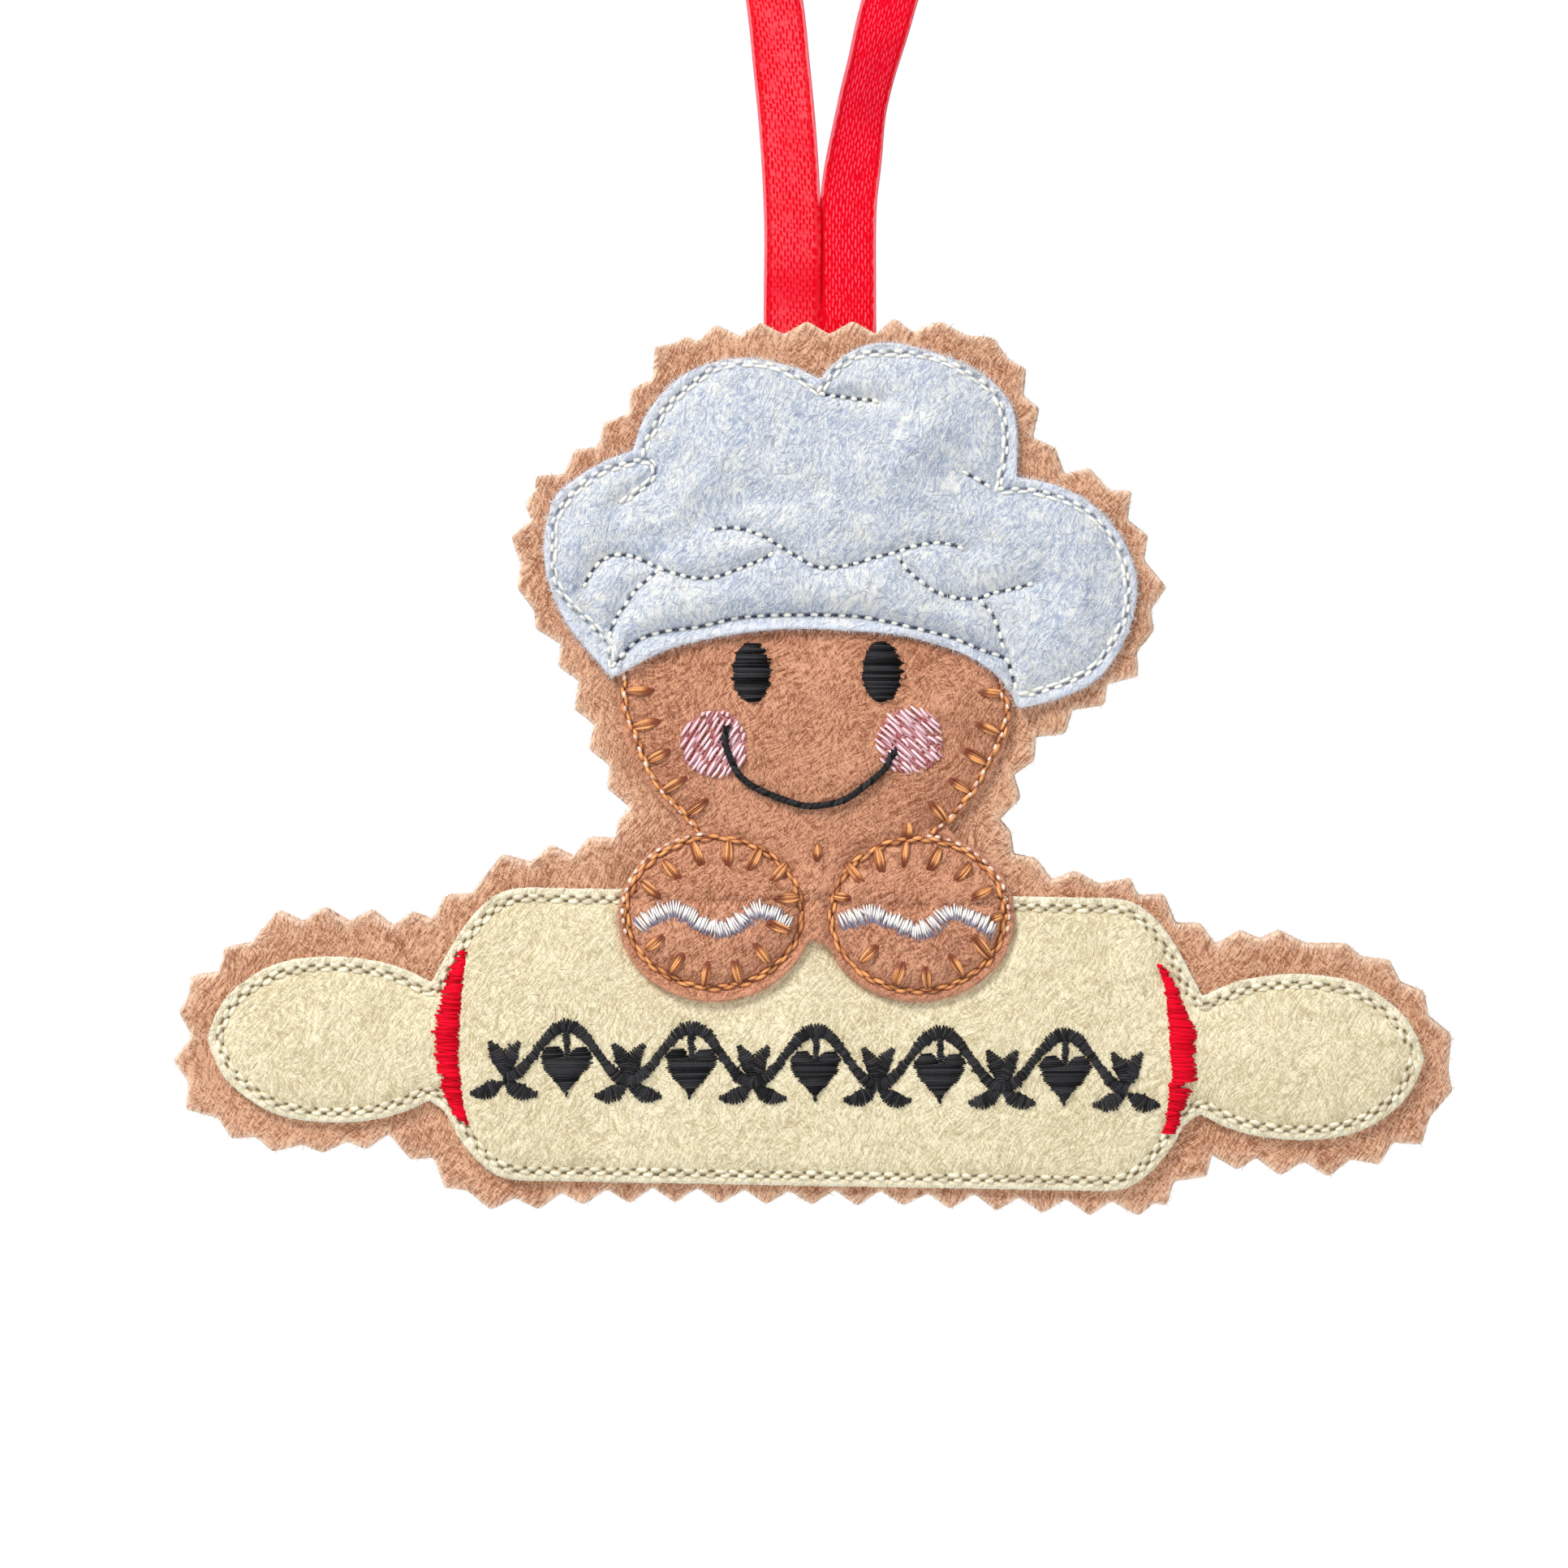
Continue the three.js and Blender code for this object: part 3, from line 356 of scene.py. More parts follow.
# Where the strands overlap, they lean to either side, and the left one lies in front.
overlap = smooth(level, -61.2, -58) * (1 - smooth(level, -46, -34)) * np.where(going_up, 1, -1)
lean = overlap * math.radians(2.4)
still = np.zeros(len(route))
flat_across = np.stack([along[:, 1], still, -along[:, 0]], 1)
outward = np.array([0, -1, 0])
across = flat_across * np.cos(turned)[:, None] + outward * np.sin(turned)[:, None]
run = np.stack([along[:, 0], still, along[:, 1]], 1)
face = np.cross(across, run)
across = across * np.cos(lean)[:, None] + face * np.sin(lean)[:, None]
face = np.cross(across, run)
middle = np.stack([route[:, 0], still, level], 1)
middle[:, 1] -= overlap * 0.05
half_steps = np.array([-1, -0.985, -0.93, -0.75, -0.5, -0.25, 0, 0.25, 0.5, 0.75, 0.93, 0.985, 1])
bead = np.where(np.abs(half_steps) > 0.9, 1.12, 1.0)
bead[[0, -1]] = 0.4
cupped = -0.1 * half_steps**2
swell = bead * ribbon_thickness / 2
section = np.vstack([
    np.stack([half_steps, cupped + swell], 1),
    np.stack([half_steps, cupped - swell], 1)[::-1],
])
rings = (
    middle[:, None]
    + across[:, None] * section[None, :, :1] * ribbon_width / 2
    + face[:, None] * section[None, :, 1:]
)
count, sides = rings.shape[:2]
corner = np.arange(count * sides).reshape(count, sides)
next_corner = np.roll(corner, -1, axis=1)
wall = np.stack([corner[:-1], corner[1:], next_corner[1:], next_corner[:-1]], -1).reshape(-1, 4)
lengths = np.arange(count) * ribbon_step
weave = np.zeros((count, sides, 3))
weave[..., 0] = section[:, 0] * ribbon_width / 2
weave[..., 1] = lengths[:, None]
# The strand: 0 up the left strand and 1 down the right, changing over the arch top; it picks the
# paler painted style of the left strand and the deeper one of the right.
weave[..., 2] = smooth(lengths, lengths[-1] * 0.4, lengths[-1] * 0.6)[:, None]
touching = smooth(level, -46, -50)[:, None]
weave[..., 0] = np.minimum(weave[..., 0], ribbon_width / 2 - 0.58 * touching)
# Painted shade low on the left strand, above the felts, and a painted highlight on the right
# strand's upper part and the arch's right side.
painted_shade_and_light = np.exp(-(((level + 57.5) / 3) ** 2))
painted_shade_and_light = np.where(going_up, painted_shade_and_light, smooth(level, -47, -38))
ribbon = piece(
    "ribbon",
    rings.reshape(-1, 3),
    [wall, corner[:1], corner[-1:, ::-1]],
    satin_ribbon(),
    {"weave": weave.reshape(-1, 3), "painted_shade_and_light": np.repeat(painted_shade_and_light, sides)},
)
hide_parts("ribbon_loop", "ribbon_tail_left", "ribbon_tail_right")
middle / 1000
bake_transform(ribbon)


# The base. Two layers of pressed tan felt are cut out together with pinking shears, just outside
# the last seam. A few fibres stand out of the cut edges and lie loose on the face.
def cut_edge(node, corner_turn=None, step=0.3):
    """A felt node's cut edge seen from the front, anticlockwise. It is smooth between its
    corners, or straight from point to point where no corner's turn is given."""
    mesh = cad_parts[node].data
    places = [(round(v.co.x * 1000, 3), round(v.co.z * 1000, 3)) for v in mesh.vertices]
    foremost = min(v.co.y for v in mesh.vertices) + 1e-6
    following = {}
    for flat in mesh.polygons:
        level = all(mesh.vertices[k].co.y < foremost for k in flat.vertices)
        if flat.normal.y > -0.2 and not level:
            continue
        around = [places[k] for k in flat.vertices]
        for a, b in zip(around, around[1:] + around[:1]):
            if a in following.get(b, ()):
                following[b].remove(a)
            else:
                following.setdefault(a, []).append(b)
    found = [next(a for a, nexts in following.items() if nexts)]
    while following[found[-1]]:
        found.append(following[found[-1]].pop())
    found = np.array(found[:-1])
    if corner_turn is None:
        return evenly(closed_up(found), step)[:-1]
    came, goes = found - np.roll(found, 1, axis=0), np.roll(found, -1, axis=0) - found
    cross = came[:, 0] * goes[:, 1] - came[:, 1] * goes[:, 0]
    corners = np.flatnonzero(np.abs(np.arctan2(cross, (came * goes).sum(1))) > corner_turn)
    runs = []
    for a, b in zip(corners, np.roll(corners, -1)):
        part = found[a : b + 1] if b > a else np.vstack([found[a:], found[: b + 1]])
        runs.append(curve(part, step)[:-1])
    return np.vstack(runs)


def eased(edge, times):
    """A closed run with its turns evened out so many times."""
    for _ in range(times):
        edge = (np.roll(edge, 1, axis=0) + 2 * edge + np.roll(edge, -1, axis=0)) / 4
    return edge


def closed_up(edge):
    """A closed edge with its first point again at its end."""
    return np.vstack([edge, edge[:1]])


def sideways(edge, closed=True):
    """Unit vectors out of an anticlockwise edge, or to the right of an open run."""
    if closed:
        ahead = np.roll(edge, -1, axis=0) - np.roll(edge, 1, axis=0)
    else:
        ahead = np.gradient(edge, axis=0)
    ahead = ahead / np.maximum(np.linalg.norm(ahead, axis=1), 1e-9)[:, None]
    return np.stack([ahead[:, 1], -ahead[:, 0]], 1)


class Marks:
    """Points to measure from, set close together along some runs, such as seams."""

    def __init__(self, runs):
        spacing = 0.08
        self.plant(np.vstack([evenly(run, spacing) for run in runs]))

    def plant(self, points):
        self.tree = kdtree.KDTree(len(points))
        for k, (x, z) in enumerate(points.tolist()):
            self.tree.insert((x, z, 0), k)
        self.tree.balance()

    def gap(self, at):
        find = self.tree.find
        return np.array([find((x, z, 0))[2] for x, z in np.asarray(at).tolist()])


def within(at, edge):
    """Whether each point lies inside a closed edge."""
    found = np.zeros(len(at), bool)
    after = np.roll(edge, -1, axis=0)
    rise = after[:, 1] - edge[:, 1]
    rise = np.where(rise == 0, 1, rise)
    at_once = 4000
    for begin in range(0, len(at), at_once):
        x, z = at[begin : begin + at_once].T[:, :, None]
        spans = (edge[:, 1] > z) != (after[:, 1] > z)
        crossing = edge[:, 0] + (z - edge[:, 1]) * (after[:, 0] - edge[:, 0]) / rise
        found[begin : begin + at_once] = (spans & (x < crossing)).sum(1) % 2 == 1
    return found


def staggered(edge, spacing):
    """Staggered points a spacing apart over the box of an edge."""
    low, high = edge.min(0), edge.max(0)
    rows = np.arange(low[1], high[1], spacing * math.sqrt(3) / 2)
    columns = np.arange(low[0], high[0], spacing)
    x, z = np.meshgrid(columns, rows)
    x = x + (np.arange(len(rows)) % 2)[:, None] * spacing / 2
    return np.stack([x.ravel(), z.ravel()], 1)


def uneven(at, size, seed):
    """Slow rises and dips of hand-worked cloth, within 1 either way, about a size apart."""
    chance = np.random.default_rng(seed)
    total = np.zeros(len(at))
    waves = 7
    for turn, phase in chance.uniform(0, 2 * math.pi, (waves, 2)):
        ahead = at[:, 0] * math.cos(turn) + at[:, 1] * math.sin(turn)
        total += np.sin(ahead * 2 * math.pi / size / chance.uniform(0.7, 1.6) + phase)
    return total / (waves / 2)


def felt_solid(name, edge, fill, front, back, paint, marks, bulge=0.09, seed=1):
    """A closed sheet of felt between two heights, over its cut edge and points within it. Its
    cut side swells a little. Heights count towards the viewer."""
    ends = [(k, (k + 1) % len(edge)) for k in range(len(edge))]
    flat = [Vector(p) for p in np.vstack([edge, fill]).tolist()]
    found, _, triangles, *_ = delaunay_2d_cdt(flat, ends, [], 1, 1e-6)
    at = np.array([tuple(p) for p in found])
    triangles = np.array(triangles)
    used = np.unique(triangles)
    renumber = np.zeros(len(at), int)
    renumber[used] = np.arange(len(used))
    at, triangles = at[used], renumber[triangles]
    a, b, c = (at[triangles[:, k]] for k in range(3))
    area = (b[:, 0] - a[:, 0]) * (c[:, 1] - a[:, 1]) - (b[:, 1] - a[:, 1]) * (c[:, 0] - a[:, 0])
    triangles[area < 0] = triangles[area < 0][:, ::-1]
    sides = np.vstack([triangles[:, [0, 1]], triangles[:, [1, 2]], triangles[:, [2, 0]]])
    key = sides[:, 0].astype(np.int64) * len(at) + sides[:, 1]
    mirrored = sides[:, 1].astype(np.int64) * len(at) + sides[:, 0]
    outer = sides[~np.isin(mirrored, key)]
    ring = np.unique(outer)
    swell = np.zeros((len(at), 2))
    ahead = at[outer[:, 1]] - at[outer[:, 0]]
    ahead /= np.maximum(np.linalg.norm(ahead, axis=1), 1e-9)[:, None]
    out = np.stack([ahead[:, 1], -ahead[:, 0]], 1)
    np.add.at(swell, outer[:, 0], out / 2)
    np.add.at(swell, outer[:, 1], out / 2)
    rough = np.random.default_rng(seed).uniform(0.3, 1, len(ring))[:, None]
    belly = at[ring] + swell[ring] * bulge * rough
    over, under = front(at), back(at)
    halfway = (over[ring] + under[ring]) / 2
    count = len(at)
    points = np.vstack([
        np.stack([at[:, 0], -over, at[:, 1]], 1),
        np.stack([at[:, 0], -under, at[:, 1]], 1),
        np.stack([belly[:, 0], -halfway, belly[:, 1]], 1),
    ])
    number = np.zeros(count, int)
    number[ring] = 2 * count + np.arange(len(ring))
    one, two = outer[:, 0], outer[:, 1]
    walls = np.vstack([
        np.stack([one, number[one], number[two], two], 1),
        np.stack([number[one], one + count, two + count, number[two]], 1),
    ])
    values = {}
    for mark, measure in marks.items():
        worked = measure(at)
        values[mark] = np.concatenate([worked, worked, worked[ring]])
    return piece(name, points, [triangles, triangles[:, ::-1] + count, walls], paint, values)


def felt(name, light, dark, hole_shade, rim, contrast, lean, mottle=None, pile=0.00022):
    """Pressed felt: wisps of fibre that lie mostly one way, fine grains, slow clouds of tone,
    painted shadow in its needle holes (mark hole_shade), and paler along the cut edge (mark
    fuzz_and_edge_glow), partly loose fibre and partly painted light, a glow through the edge that
    also covers the shade of its cut side. Its relief is as deep as its pile, in metres, and it
    may be mottled in two more colours."""
    dull = {"Roughness": 0.95, "Specular IOR Level": 0.1}
    paint, shader, start = finish(name, {**dull, "Sheen Weight": 0.12, "Sheen Roughness": 0.6})
    wisps = start.streaks(0.0002, 0.0011, lean)
    crossing = start.streaks(0.00017, 0.0008, lean - 1.25)
    grains = start.blotches(0.00022, roughness=0.6)
    clouds = start.blotches(0.007)
    pattern = (wisps - 0.5) * 2.5 + (crossing - 0.5) * 1.8 + (grains - 0.5) * 2.0
    tone = 0.5 + pattern * contrast + (clouds - 0.5) * 0.6
    base = tone.rise(-0.15, 1.15).mixed(dark, light)
    if mottle:
        pale, deep = mottle
        patches = start.blotches(0.0034) - 0.5
        bright = start.streaks(0.0004, 0.0009, lean - 0.1, detail=2.5) + patches * 0.5
        base = (bright.rise(0.44, 0.78) * 0.8).mixed(base, pale)
        specks = start.streaks(0.00032, 0.0008, lean - 0.2, detail=1.0) - patches * 0.4
        base = (specks.rise(0.54, 0.72) * 0.8).mixed(base, deep)
    # Paler along the cut edge in the rim colour: partly loose fibre, partly a painted glow that
    # covers the shade of the cut side.
    base = (start.mark("fuzz_and_edge_glow") * (0.62 + (wisps - 0.5) * 2.2)).mixed(base, rim)
    # Painted shadow in the needle holes.
    base = (start.mark("hole_shade") * 0.95).mixed(base, hole_shade)
    drive(shader, "Base Color", base)
    relief = wisps * 0.5 + crossing * 0.3 + grains * 0.2
    drive(shader, "Normal", raised(relief, distance=pile, strength=0.7))
    return paint


base_face = 1.75
back_shift = np.array([0.16, 0.12])
pinked = eased(cut_edge("front_felt"), 1)
pinked_marks = Marks([closed_up(pinked)])
chance = np.random.default_rng(21)


def edge_rounding(gap, depth=0.26, width=0.45):
    """How far a cut edge is rounded down, this far inside it."""
    return depth * np.clip(1 - gap / width, 0, 1) ** 2


def filling(edge, marks, coarse, rows=(0.16, 0.4)):
    """Points within a cut edge: rows just inside it and a staggered grid over the rest."""
    kept = []
    for inset in rows:
        row = edge - sideways(edge) * inset
        kept.append(row[marks.gap(row) > inset * 0.9])
    grid = staggered(edge, coarse)
    grid = grid[within(grid, edge)]
    kept.append(grid[marks.gap(grid) > max(rows) + coarse * 0.35])
    return np.vstack(kept)


def cut_size(edge):
    """The width and length of a cut sheet and its area, in metres."""
    after = np.roll(edge, -1, axis=0)
    area = abs((edge[:, 0] * after[:, 1] - edge[:, 1] * after[:, 0]).sum()) / 2
    return tuple((np.ptp(edge, axis=0) / 1000).tolist()), float(area) / 1e6


def lining(at):
    """How far each layer's inner face keeps from the middle, wider where the ribbon lies."""
    gap = pinked_marks.gap(at)
    ribbon_ends = (1 - smooth(np.abs(at[:, 0]), 7, 9)) * smooth(at[:, 1], -79, -75)
    return 0.14 + 0.16 * np.maximum(smooth(gap, 0.5, 4), ribbon_ends)


def front_height(at):
    gap = pinked_marks.gap(at)
    lift = 0.14 * uneven(at, size=9, seed=5) * (1 - 0.5 * smooth(gap, 3, 6))
    return base_face + lift - edge_rounding(gap)


def back_height(at):
    at = at - back_shift
    return -base_face - 0.1 * uneven(at, size=8, seed=6) + edge_rounding(pinked_marks.gap(at))


tan_paint = felt(
    "tan felt", light=(234, 185, 152), dark=(150, 94, 65), hole_shade=(112, 74, 56),
    rim=(255, 230, 206), contrast=0.88, lean=0.5, pile=0.00016,
)
base_fill = filling(pinked, pinked_marks, coarse=1.0)
front_sheet = felt_solid(
    "front_sheet",
    pinked,
    base_fill,
    front_height,
    lining,
    tan_paint,
    {"fuzz_and_edge_glow": lambda at: 1 - smooth(pinked_marks.gap(at), 0, 0.6)},
)
back_sheet = felt_solid(
    "back_sheet",
    pinked + back_shift,
    base_fill + back_shift,
    lambda at: -lining(at - back_shift),
    back_height,
    tan_paint,
    {"fuzz_and_edge_glow": lambda at: 1 - smooth(pinked_marks.gap(at - back_shift), 0, 0.9)},
    seed=2,
)
tan_cut, tan_area = cut_size(pinked)
for sheet, node in ((front_sheet, "front_felt"), (back_sheet, "back_felt")):
    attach(sheet, "decoration")
    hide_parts(node)


def tubes(runs, radii, sides):
    """Closed tubes along many runs at once: points, side faces, end faces and bake places."""
    number, rings = runs.shape[:2]
    ahead = np.gradient(runs, axis=1)
    ahead /= np.maximum(np.linalg.norm(ahead, axis=2), 1e-9)[..., None]
    helper = np.where(np.abs(ahead[:, 0, :1]) < 0.8, [[1.0, 0, 0]], [[0, 0, 1.0]])
    up = np.cross(ahead[:, 0], helper)
    ups = []
    for k in range(rings):
        up = up - ahead[:, k] * (up * ahead[:, k]).sum(1)[:, None]
        up = up / np.maximum(np.linalg.norm(up, axis=1), 1e-9)[:, None]
        ups.append(up)
    ups = np.stack(ups, 1)
    beside = np.cross(ahead, ups)
    turn = np.arange(sides) / sides * 2 * math.pi
    spread = (
        ups[:, :, None] * np.cos(turn)[None, None, :, None]
        + beside[:, :, None] * np.sin(turn)[None, None, :, None]
    )
    points = runs[:, :, None] + spread * radii[:, :, None, None]
    index = np.arange(number * rings * sides).reshape(number, rings, sides)
    after = np.roll(index, -1, axis=2)
    walls = np.stack([index[:, :-1], after[:, :-1], after[:, 1:], index[:, 1:]], -1)
    ends = np.vstack([index[:, 0, ::-1], index[:, -1]])
    across = max(1, math.ceil(math.sqrt(number)))
    cell, used, wall_share = 1 / across, 0.94, 0.85
    left, low = (np.arange(number) % across) * cell, (np.arange(number) // across) * cell
    u, v = np.arange(sides + 1) / sides, np.arange(rings) / (rings - 1) * wall_share
    u, v = u * cell * used, v * cell * used
    wall_u = np.stack([u[:-1], u[1:], u[1:], u[:-1]], -1)
    wall_v = np.stack([v[:-1], v[:-1], v[1:], v[1:]], -1)
    shape = (number, rings - 1, sides, 4)
    wall_places = np.stack([
        left[:, None, None, None] + np.broadcast_to(wall_u, shape),
        low[:, None, None, None] + np.broadcast_to(wall_v[:, None], shape),
    ], -1)
    cap_at = np.stack([0.5 + 0.4 * np.cos(turn), 0.93 + 0.05 * np.sin(turn)], -1) * cell * used
    cap_places = np.stack([left, low], 1)[:, None] + cap_at[None]
    cap_places = np.vstack([cap_places[:, ::-1], cap_places])
    return points.reshape(-1, 3), walls.reshape(-1, 4), ends, wall_places, cap_places


class Threads:
    """Stitches or fibres gathered into one piece, each with a tone from 0, dark, to 1, light."""

    def __init__(self, sides=6):
        self.sides = sides
        self.parts = []

    def lay(self, runs, radii, tones):
        radii = np.broadcast_to(radii, runs.shape[:2])
        tones = np.broadcast_to(tones, runs.shape[:2])
        self.parts.append((tubes(runs, radii, self.sides), tones))

    def laid(self, name, paint, slot):
        points, walls, ends, wall_places, cap_places, tones = [], [], [], [], [], []
        before = 0
        across = math.ceil(math.sqrt(len(self.parts)))
        share = 1 / across
        for k, ((at, wall, end, wall_at, cap_at), tone) in enumerate(self.parts):
            corner_at = np.array([k % across, k // across]) * share
            points.append(at)
            walls.append(wall + before)
            ends.append(end + before)
            wall_places.append(wall_at.reshape(-1, 2) * share + corner_at)
            cap_places.append(cap_at.reshape(-1, 2) * share + corner_at)
            tones.append(np.repeat(tone.reshape(-1), self.sides))
            before += len(at)
        made = piece(
            name,
            np.vstack(points),
            [np.vstack(walls), np.vstack(ends)],
            paint,
            {"tone": np.concatenate(tones)},
            np.vstack(wall_places + cap_places),
        )
        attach(made, "decoration")
        return made


def fibre(name, light, dark):
    """Single fibres, each between a light and a dark tone of its felt."""
    paint, shader, start = finish(name, {"Roughness": 0.85, "Specular IOR Level": 0.2})
    drive(shader, "Base Color", start.mark("tone").mixed(dark, light))
    return paint


def edge_fibres(chance, edge, number, low, high, length):
    """Fibres that stick out of a cut edge, between two heights."""
    radius = 0.03
    pick = chance.integers(len(edge), size=number)
    out = sideways(edge)[pick]
    lengthwise = np.stack([-out[:, 1], out[:, 0]], 1)
    lean = chance.normal(0, 0.9, number)[:, None]
    heading = out * chance.uniform(0.25, 1, number)[:, None] + lengthwise * lean
    heading /= np.linalg.norm(heading, axis=1)[:, None]
    size = length * chance.uniform(0.35, 1.25, number)[:, None, None]
    share = np.linspace(0, 1, 5)[None, :, None]
    bend = chance.normal(0, 0.35, number)[:, None, None]
    turned_heading = np.stack([-heading[:, 1], heading[:, 0]], 1)
    start_at = edge[pick] - out * 0.3
    flat = (
        start_at[:, None]
        + heading[:, None] * share * size
        + turned_heading[:, None] * bend * share**2 * size
    )
    tall = low[pick] + (high[pick] - low[pick]) * chance.uniform(0.05, 0.95, number)
    drift = chance.normal(0, 0.25, number)
    height = tall[:, None] + drift[:, None] * share[..., 0] ** 1.5 * size[..., 0]
    runs = np.stack([flat[..., 0], -height, flat[..., 1]], -1)
    radii = radius * (1 - 0.6 * share[..., 0]) * np.ones((number, 1))
    return runs, radii, chance.uniform(0.5, 1, number)[:, None]


def face_fibres(chance, edge, number, height, length, skip):
    """Fibres that lie loose on a face, both their ends held in it, and most of them one way."""
    radius, lean = 0.034, 0.55
    low, high = edge.min(0), edge.max(0)
    at = chance.uniform(low, high, (number * 3, 2))
    at = at[within(at, edge)]
    if skip is not None:
        at = at[~skip(at)]
    at = at[:number]
    number = len(at)
    turn = math.pi / 2 - lean + chance.normal(0, 0.6, number)
    astray = chance.uniform(0, 1, number) < 0.3
    turn[astray] = chance.uniform(0, 2 * math.pi, astray.sum())
    bend = chance.normal(0, 0.9, number)
    size = length * chance.uniform(0.4, 1.3, number)
    share = np.linspace(-0.5, 0.5, 5)
    angle = turn[:, None] + bend[:, None] * share[None]
    step = size[:, None] / 4
    x = np.cumsum(np.cos(angle) * step, 1)
    z = np.cumsum(np.sin(angle) * step, 1)
    x, z = x - x.mean(1)[:, None] + at[:, :1], z - z.mean(1)[:, None] + at[:, 1:]
    flat = np.stack([x, z], -1)
    face_at = height(flat.reshape(-1, 2)).reshape(number, -1)
    lift = np.cos(share * math.pi)[None] * chance.uniform(0.02, 0.11, number)[:, None] - 0.025
    runs = np.stack([x, -(face_at + lift), z], -1)
    radii = radius * (0.5 + 0.5 * np.cos(share * 2.4))[None] * np.ones((number, 1))
    return runs, radii, chance.uniform(0, 1, number)[:, None]


# The stiffening sheet. A thin white non-woven sheet lies between the two felts, behind the
# embroidery that is worked through it. It is trimmed near the stitching, so no edge of it shows.
stiffener_edge = cut_edge("stabiliser_sheet", step=0.8)
stiffener_marks = Marks([closed_up(stiffener_edge)])
stiffener_half = 0.12
paint, shader, start = finish("stiffener", {"Roughness": 0.9})
threads = start.blotches(0.0006, detail=4, roughness=0.7, distortion=2.5)
drive(shader, "Base Color", threads.rise(0.3, 0.7).mixed((222, 222, 220), (250, 250, 248)))
drive(shader, "Normal", raised(threads, distance=0.0001, strength=0.5))
stiffening_sheet = felt_solid(
    "stiffening_sheet",
    stiffener_edge,
    filling(stiffener_edge, stiffener_marks, coarse=3, rows=(0.8,)),
    lambda at: np.full(len(at), stiffener_half),
    lambda at: np.full(len(at), -stiffener_half),
    paint,
    {},
    bulge=0,
)


def laid_sheet(sheet, edge, node):
    """A flat piece of the decoration joins the decoration's body, and the part it replaces is
    hidden.
    """
    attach(sheet, "decoration")
    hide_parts(node)
    flat, area = cut_size(edge)


laid_sheet(
    stiffening_sheet, stiffener_edge, "stabiliser_sheet"
)


# The rolling pin. It is cut from cream felt in one piece with both handles, and sewn down with a
# double row of running stitches a little inside its edge. The paws are sewn over its top.
def seam_inset(edge, marks, inset):
    """A closed run a fixed way inside a cut edge."""
    inner = edge - sideways(edge) * inset
    inner = inner[marks.gap(inner) > inset * 0.95]
    return eased(evenly(closed_up(inner), 0.1)[:-1], times=6)


class Row:
    """One row of running stitches along a seam, a little aside of it. It knows where its
    threads lie, and where the felt is pricked and pulled in between them."""

    rings = 7

    def __init__(self, chance, run, pitch, share, aside=0.0, phase=0.0):
        step = 0.1
        run = evenly(run, step)
        self.run = run + sideways(run, closed=False) * aside
        self.travelled = np.arange(len(run)) * step
        number = max(1, round(self.travelled[-1] / pitch))
        pitch = self.travelled[-1] / number
        self.begins = (np.arange(number) + phase + chance.normal(0, 0.045, number)) * pitch
        self.spans = pitch * share * chance.uniform(0.86, 1.12, number)

    def at(self, stops):
        return np.stack([np.interp(stops, self.travelled, axis) for axis in self.run.T], -1)

    def gaps(self, inset):
        """Points along the gaps between its stitches, from which the holes are drawn."""
        starts = (self.begins + self.spans)[:-1] + inset
        ends = np.maximum(self.begins[1:] - inset, starts + 0.05)
        share = np.linspace(0, 1, 5)
        return self.at(starts[:, None] * (1 - share) + ends[:, None] * share).reshape(-1, 2)

    def threads(self, chance, top, radius, lift, stray=0.04):
        """Its stitches and their profile, each dipping into the felt at both its ends."""
        number = len(self.begins)
        across = np.linspace(0, 1, self.rings)
        flat = self.at(self.begins[:, None] + self.spans[:, None] * across)
        shift = chance.normal(0, stray, (number, 2, 1, 2))
        flat = flat + shift[:, 0] * (1 - across[:, None]) + shift[:, 1] * across[:, None]
        profile = 1 - (2 * across - 1) ** 4
        base = top(flat.reshape(-1, 2)).reshape(number, self.rings)
        rise = (lift * profile - 0.24 * (1 - profile)) * chance.uniform(0.8, 1.2, (number, 1))
        radii = radius * (0.62 + 0.38 * profile) * chance.uniform(0.85, 1.12, (number, 1))
        return np.stack([flat[..., 0], -(base + rise), flat[..., 1]], -1), radii


class Holes(Marks):
    """Needle holes; dark shows how deep in one each point lies, from 0 to 1. The felt sinks
    there, and shadow is painted there.
    """

    def __init__(self, places, radius):
        self.plant(places)
        self.radius = radius

    def dark(self, at):
        return 1 - smooth(self.gap(at), self.radius * 0.45, self.radius * 1.25)


def seamed_filling(edge, marks, seams, coarse, clear):
    """Points within a cut edge, where staggered fine ones on both sides of its seams take the
    place of the coarse ones, for the felt's grooves and holes."""
    fine_step, fine_gap = 0.17, 0.13
    asides = (-0.9, -0.66, -0.46, -0.3, -0.15, 0, 0.15, 0.3, 0.46, 0.66, 0.9)
    fine = []
    for seam in seams:
        run = evenly(seam, fine_step)
        out = sideways(run, closed=False)
        for k, aside in enumerate(asides):
            row = run + out * aside
            fine.append((row[:-1] + row[1:]) / 2 if k % 2 else row)
    fine = np.vstack(fine)
    fine = fine[within(fine, edge)]
    fine = fine[marks.gap(fine) > 0.5]
    _, first = np.unique(np.round(fine / fine_gap).astype(int), axis=0, return_index=True)
    plain = filling(edge, marks, coarse)
    plain = plain[Marks(seams).gap(plain) > clear]
    return np.vstack([plain, fine[np.sort(first)]])


felt_loft, stitched_loft = 1.3, 0.72
groove_reach, puff_reach = 0.95, 5.5


def puffed(gap, rim, puff):
    """How thick felt is this far from a seam and from its cut edge."""
    risen = 1 - np.exp(-((gap / groove_reach) ** 2))
    filled = 1 - np.exp(-((np.minimum(gap, rim) / puff_reach) ** 2))
    loft = stitched_loft + (felt_loft - stitched_loft) * risen + puff * filled
    return loft - edge_rounding(rim, depth=0.3, width=0.6)


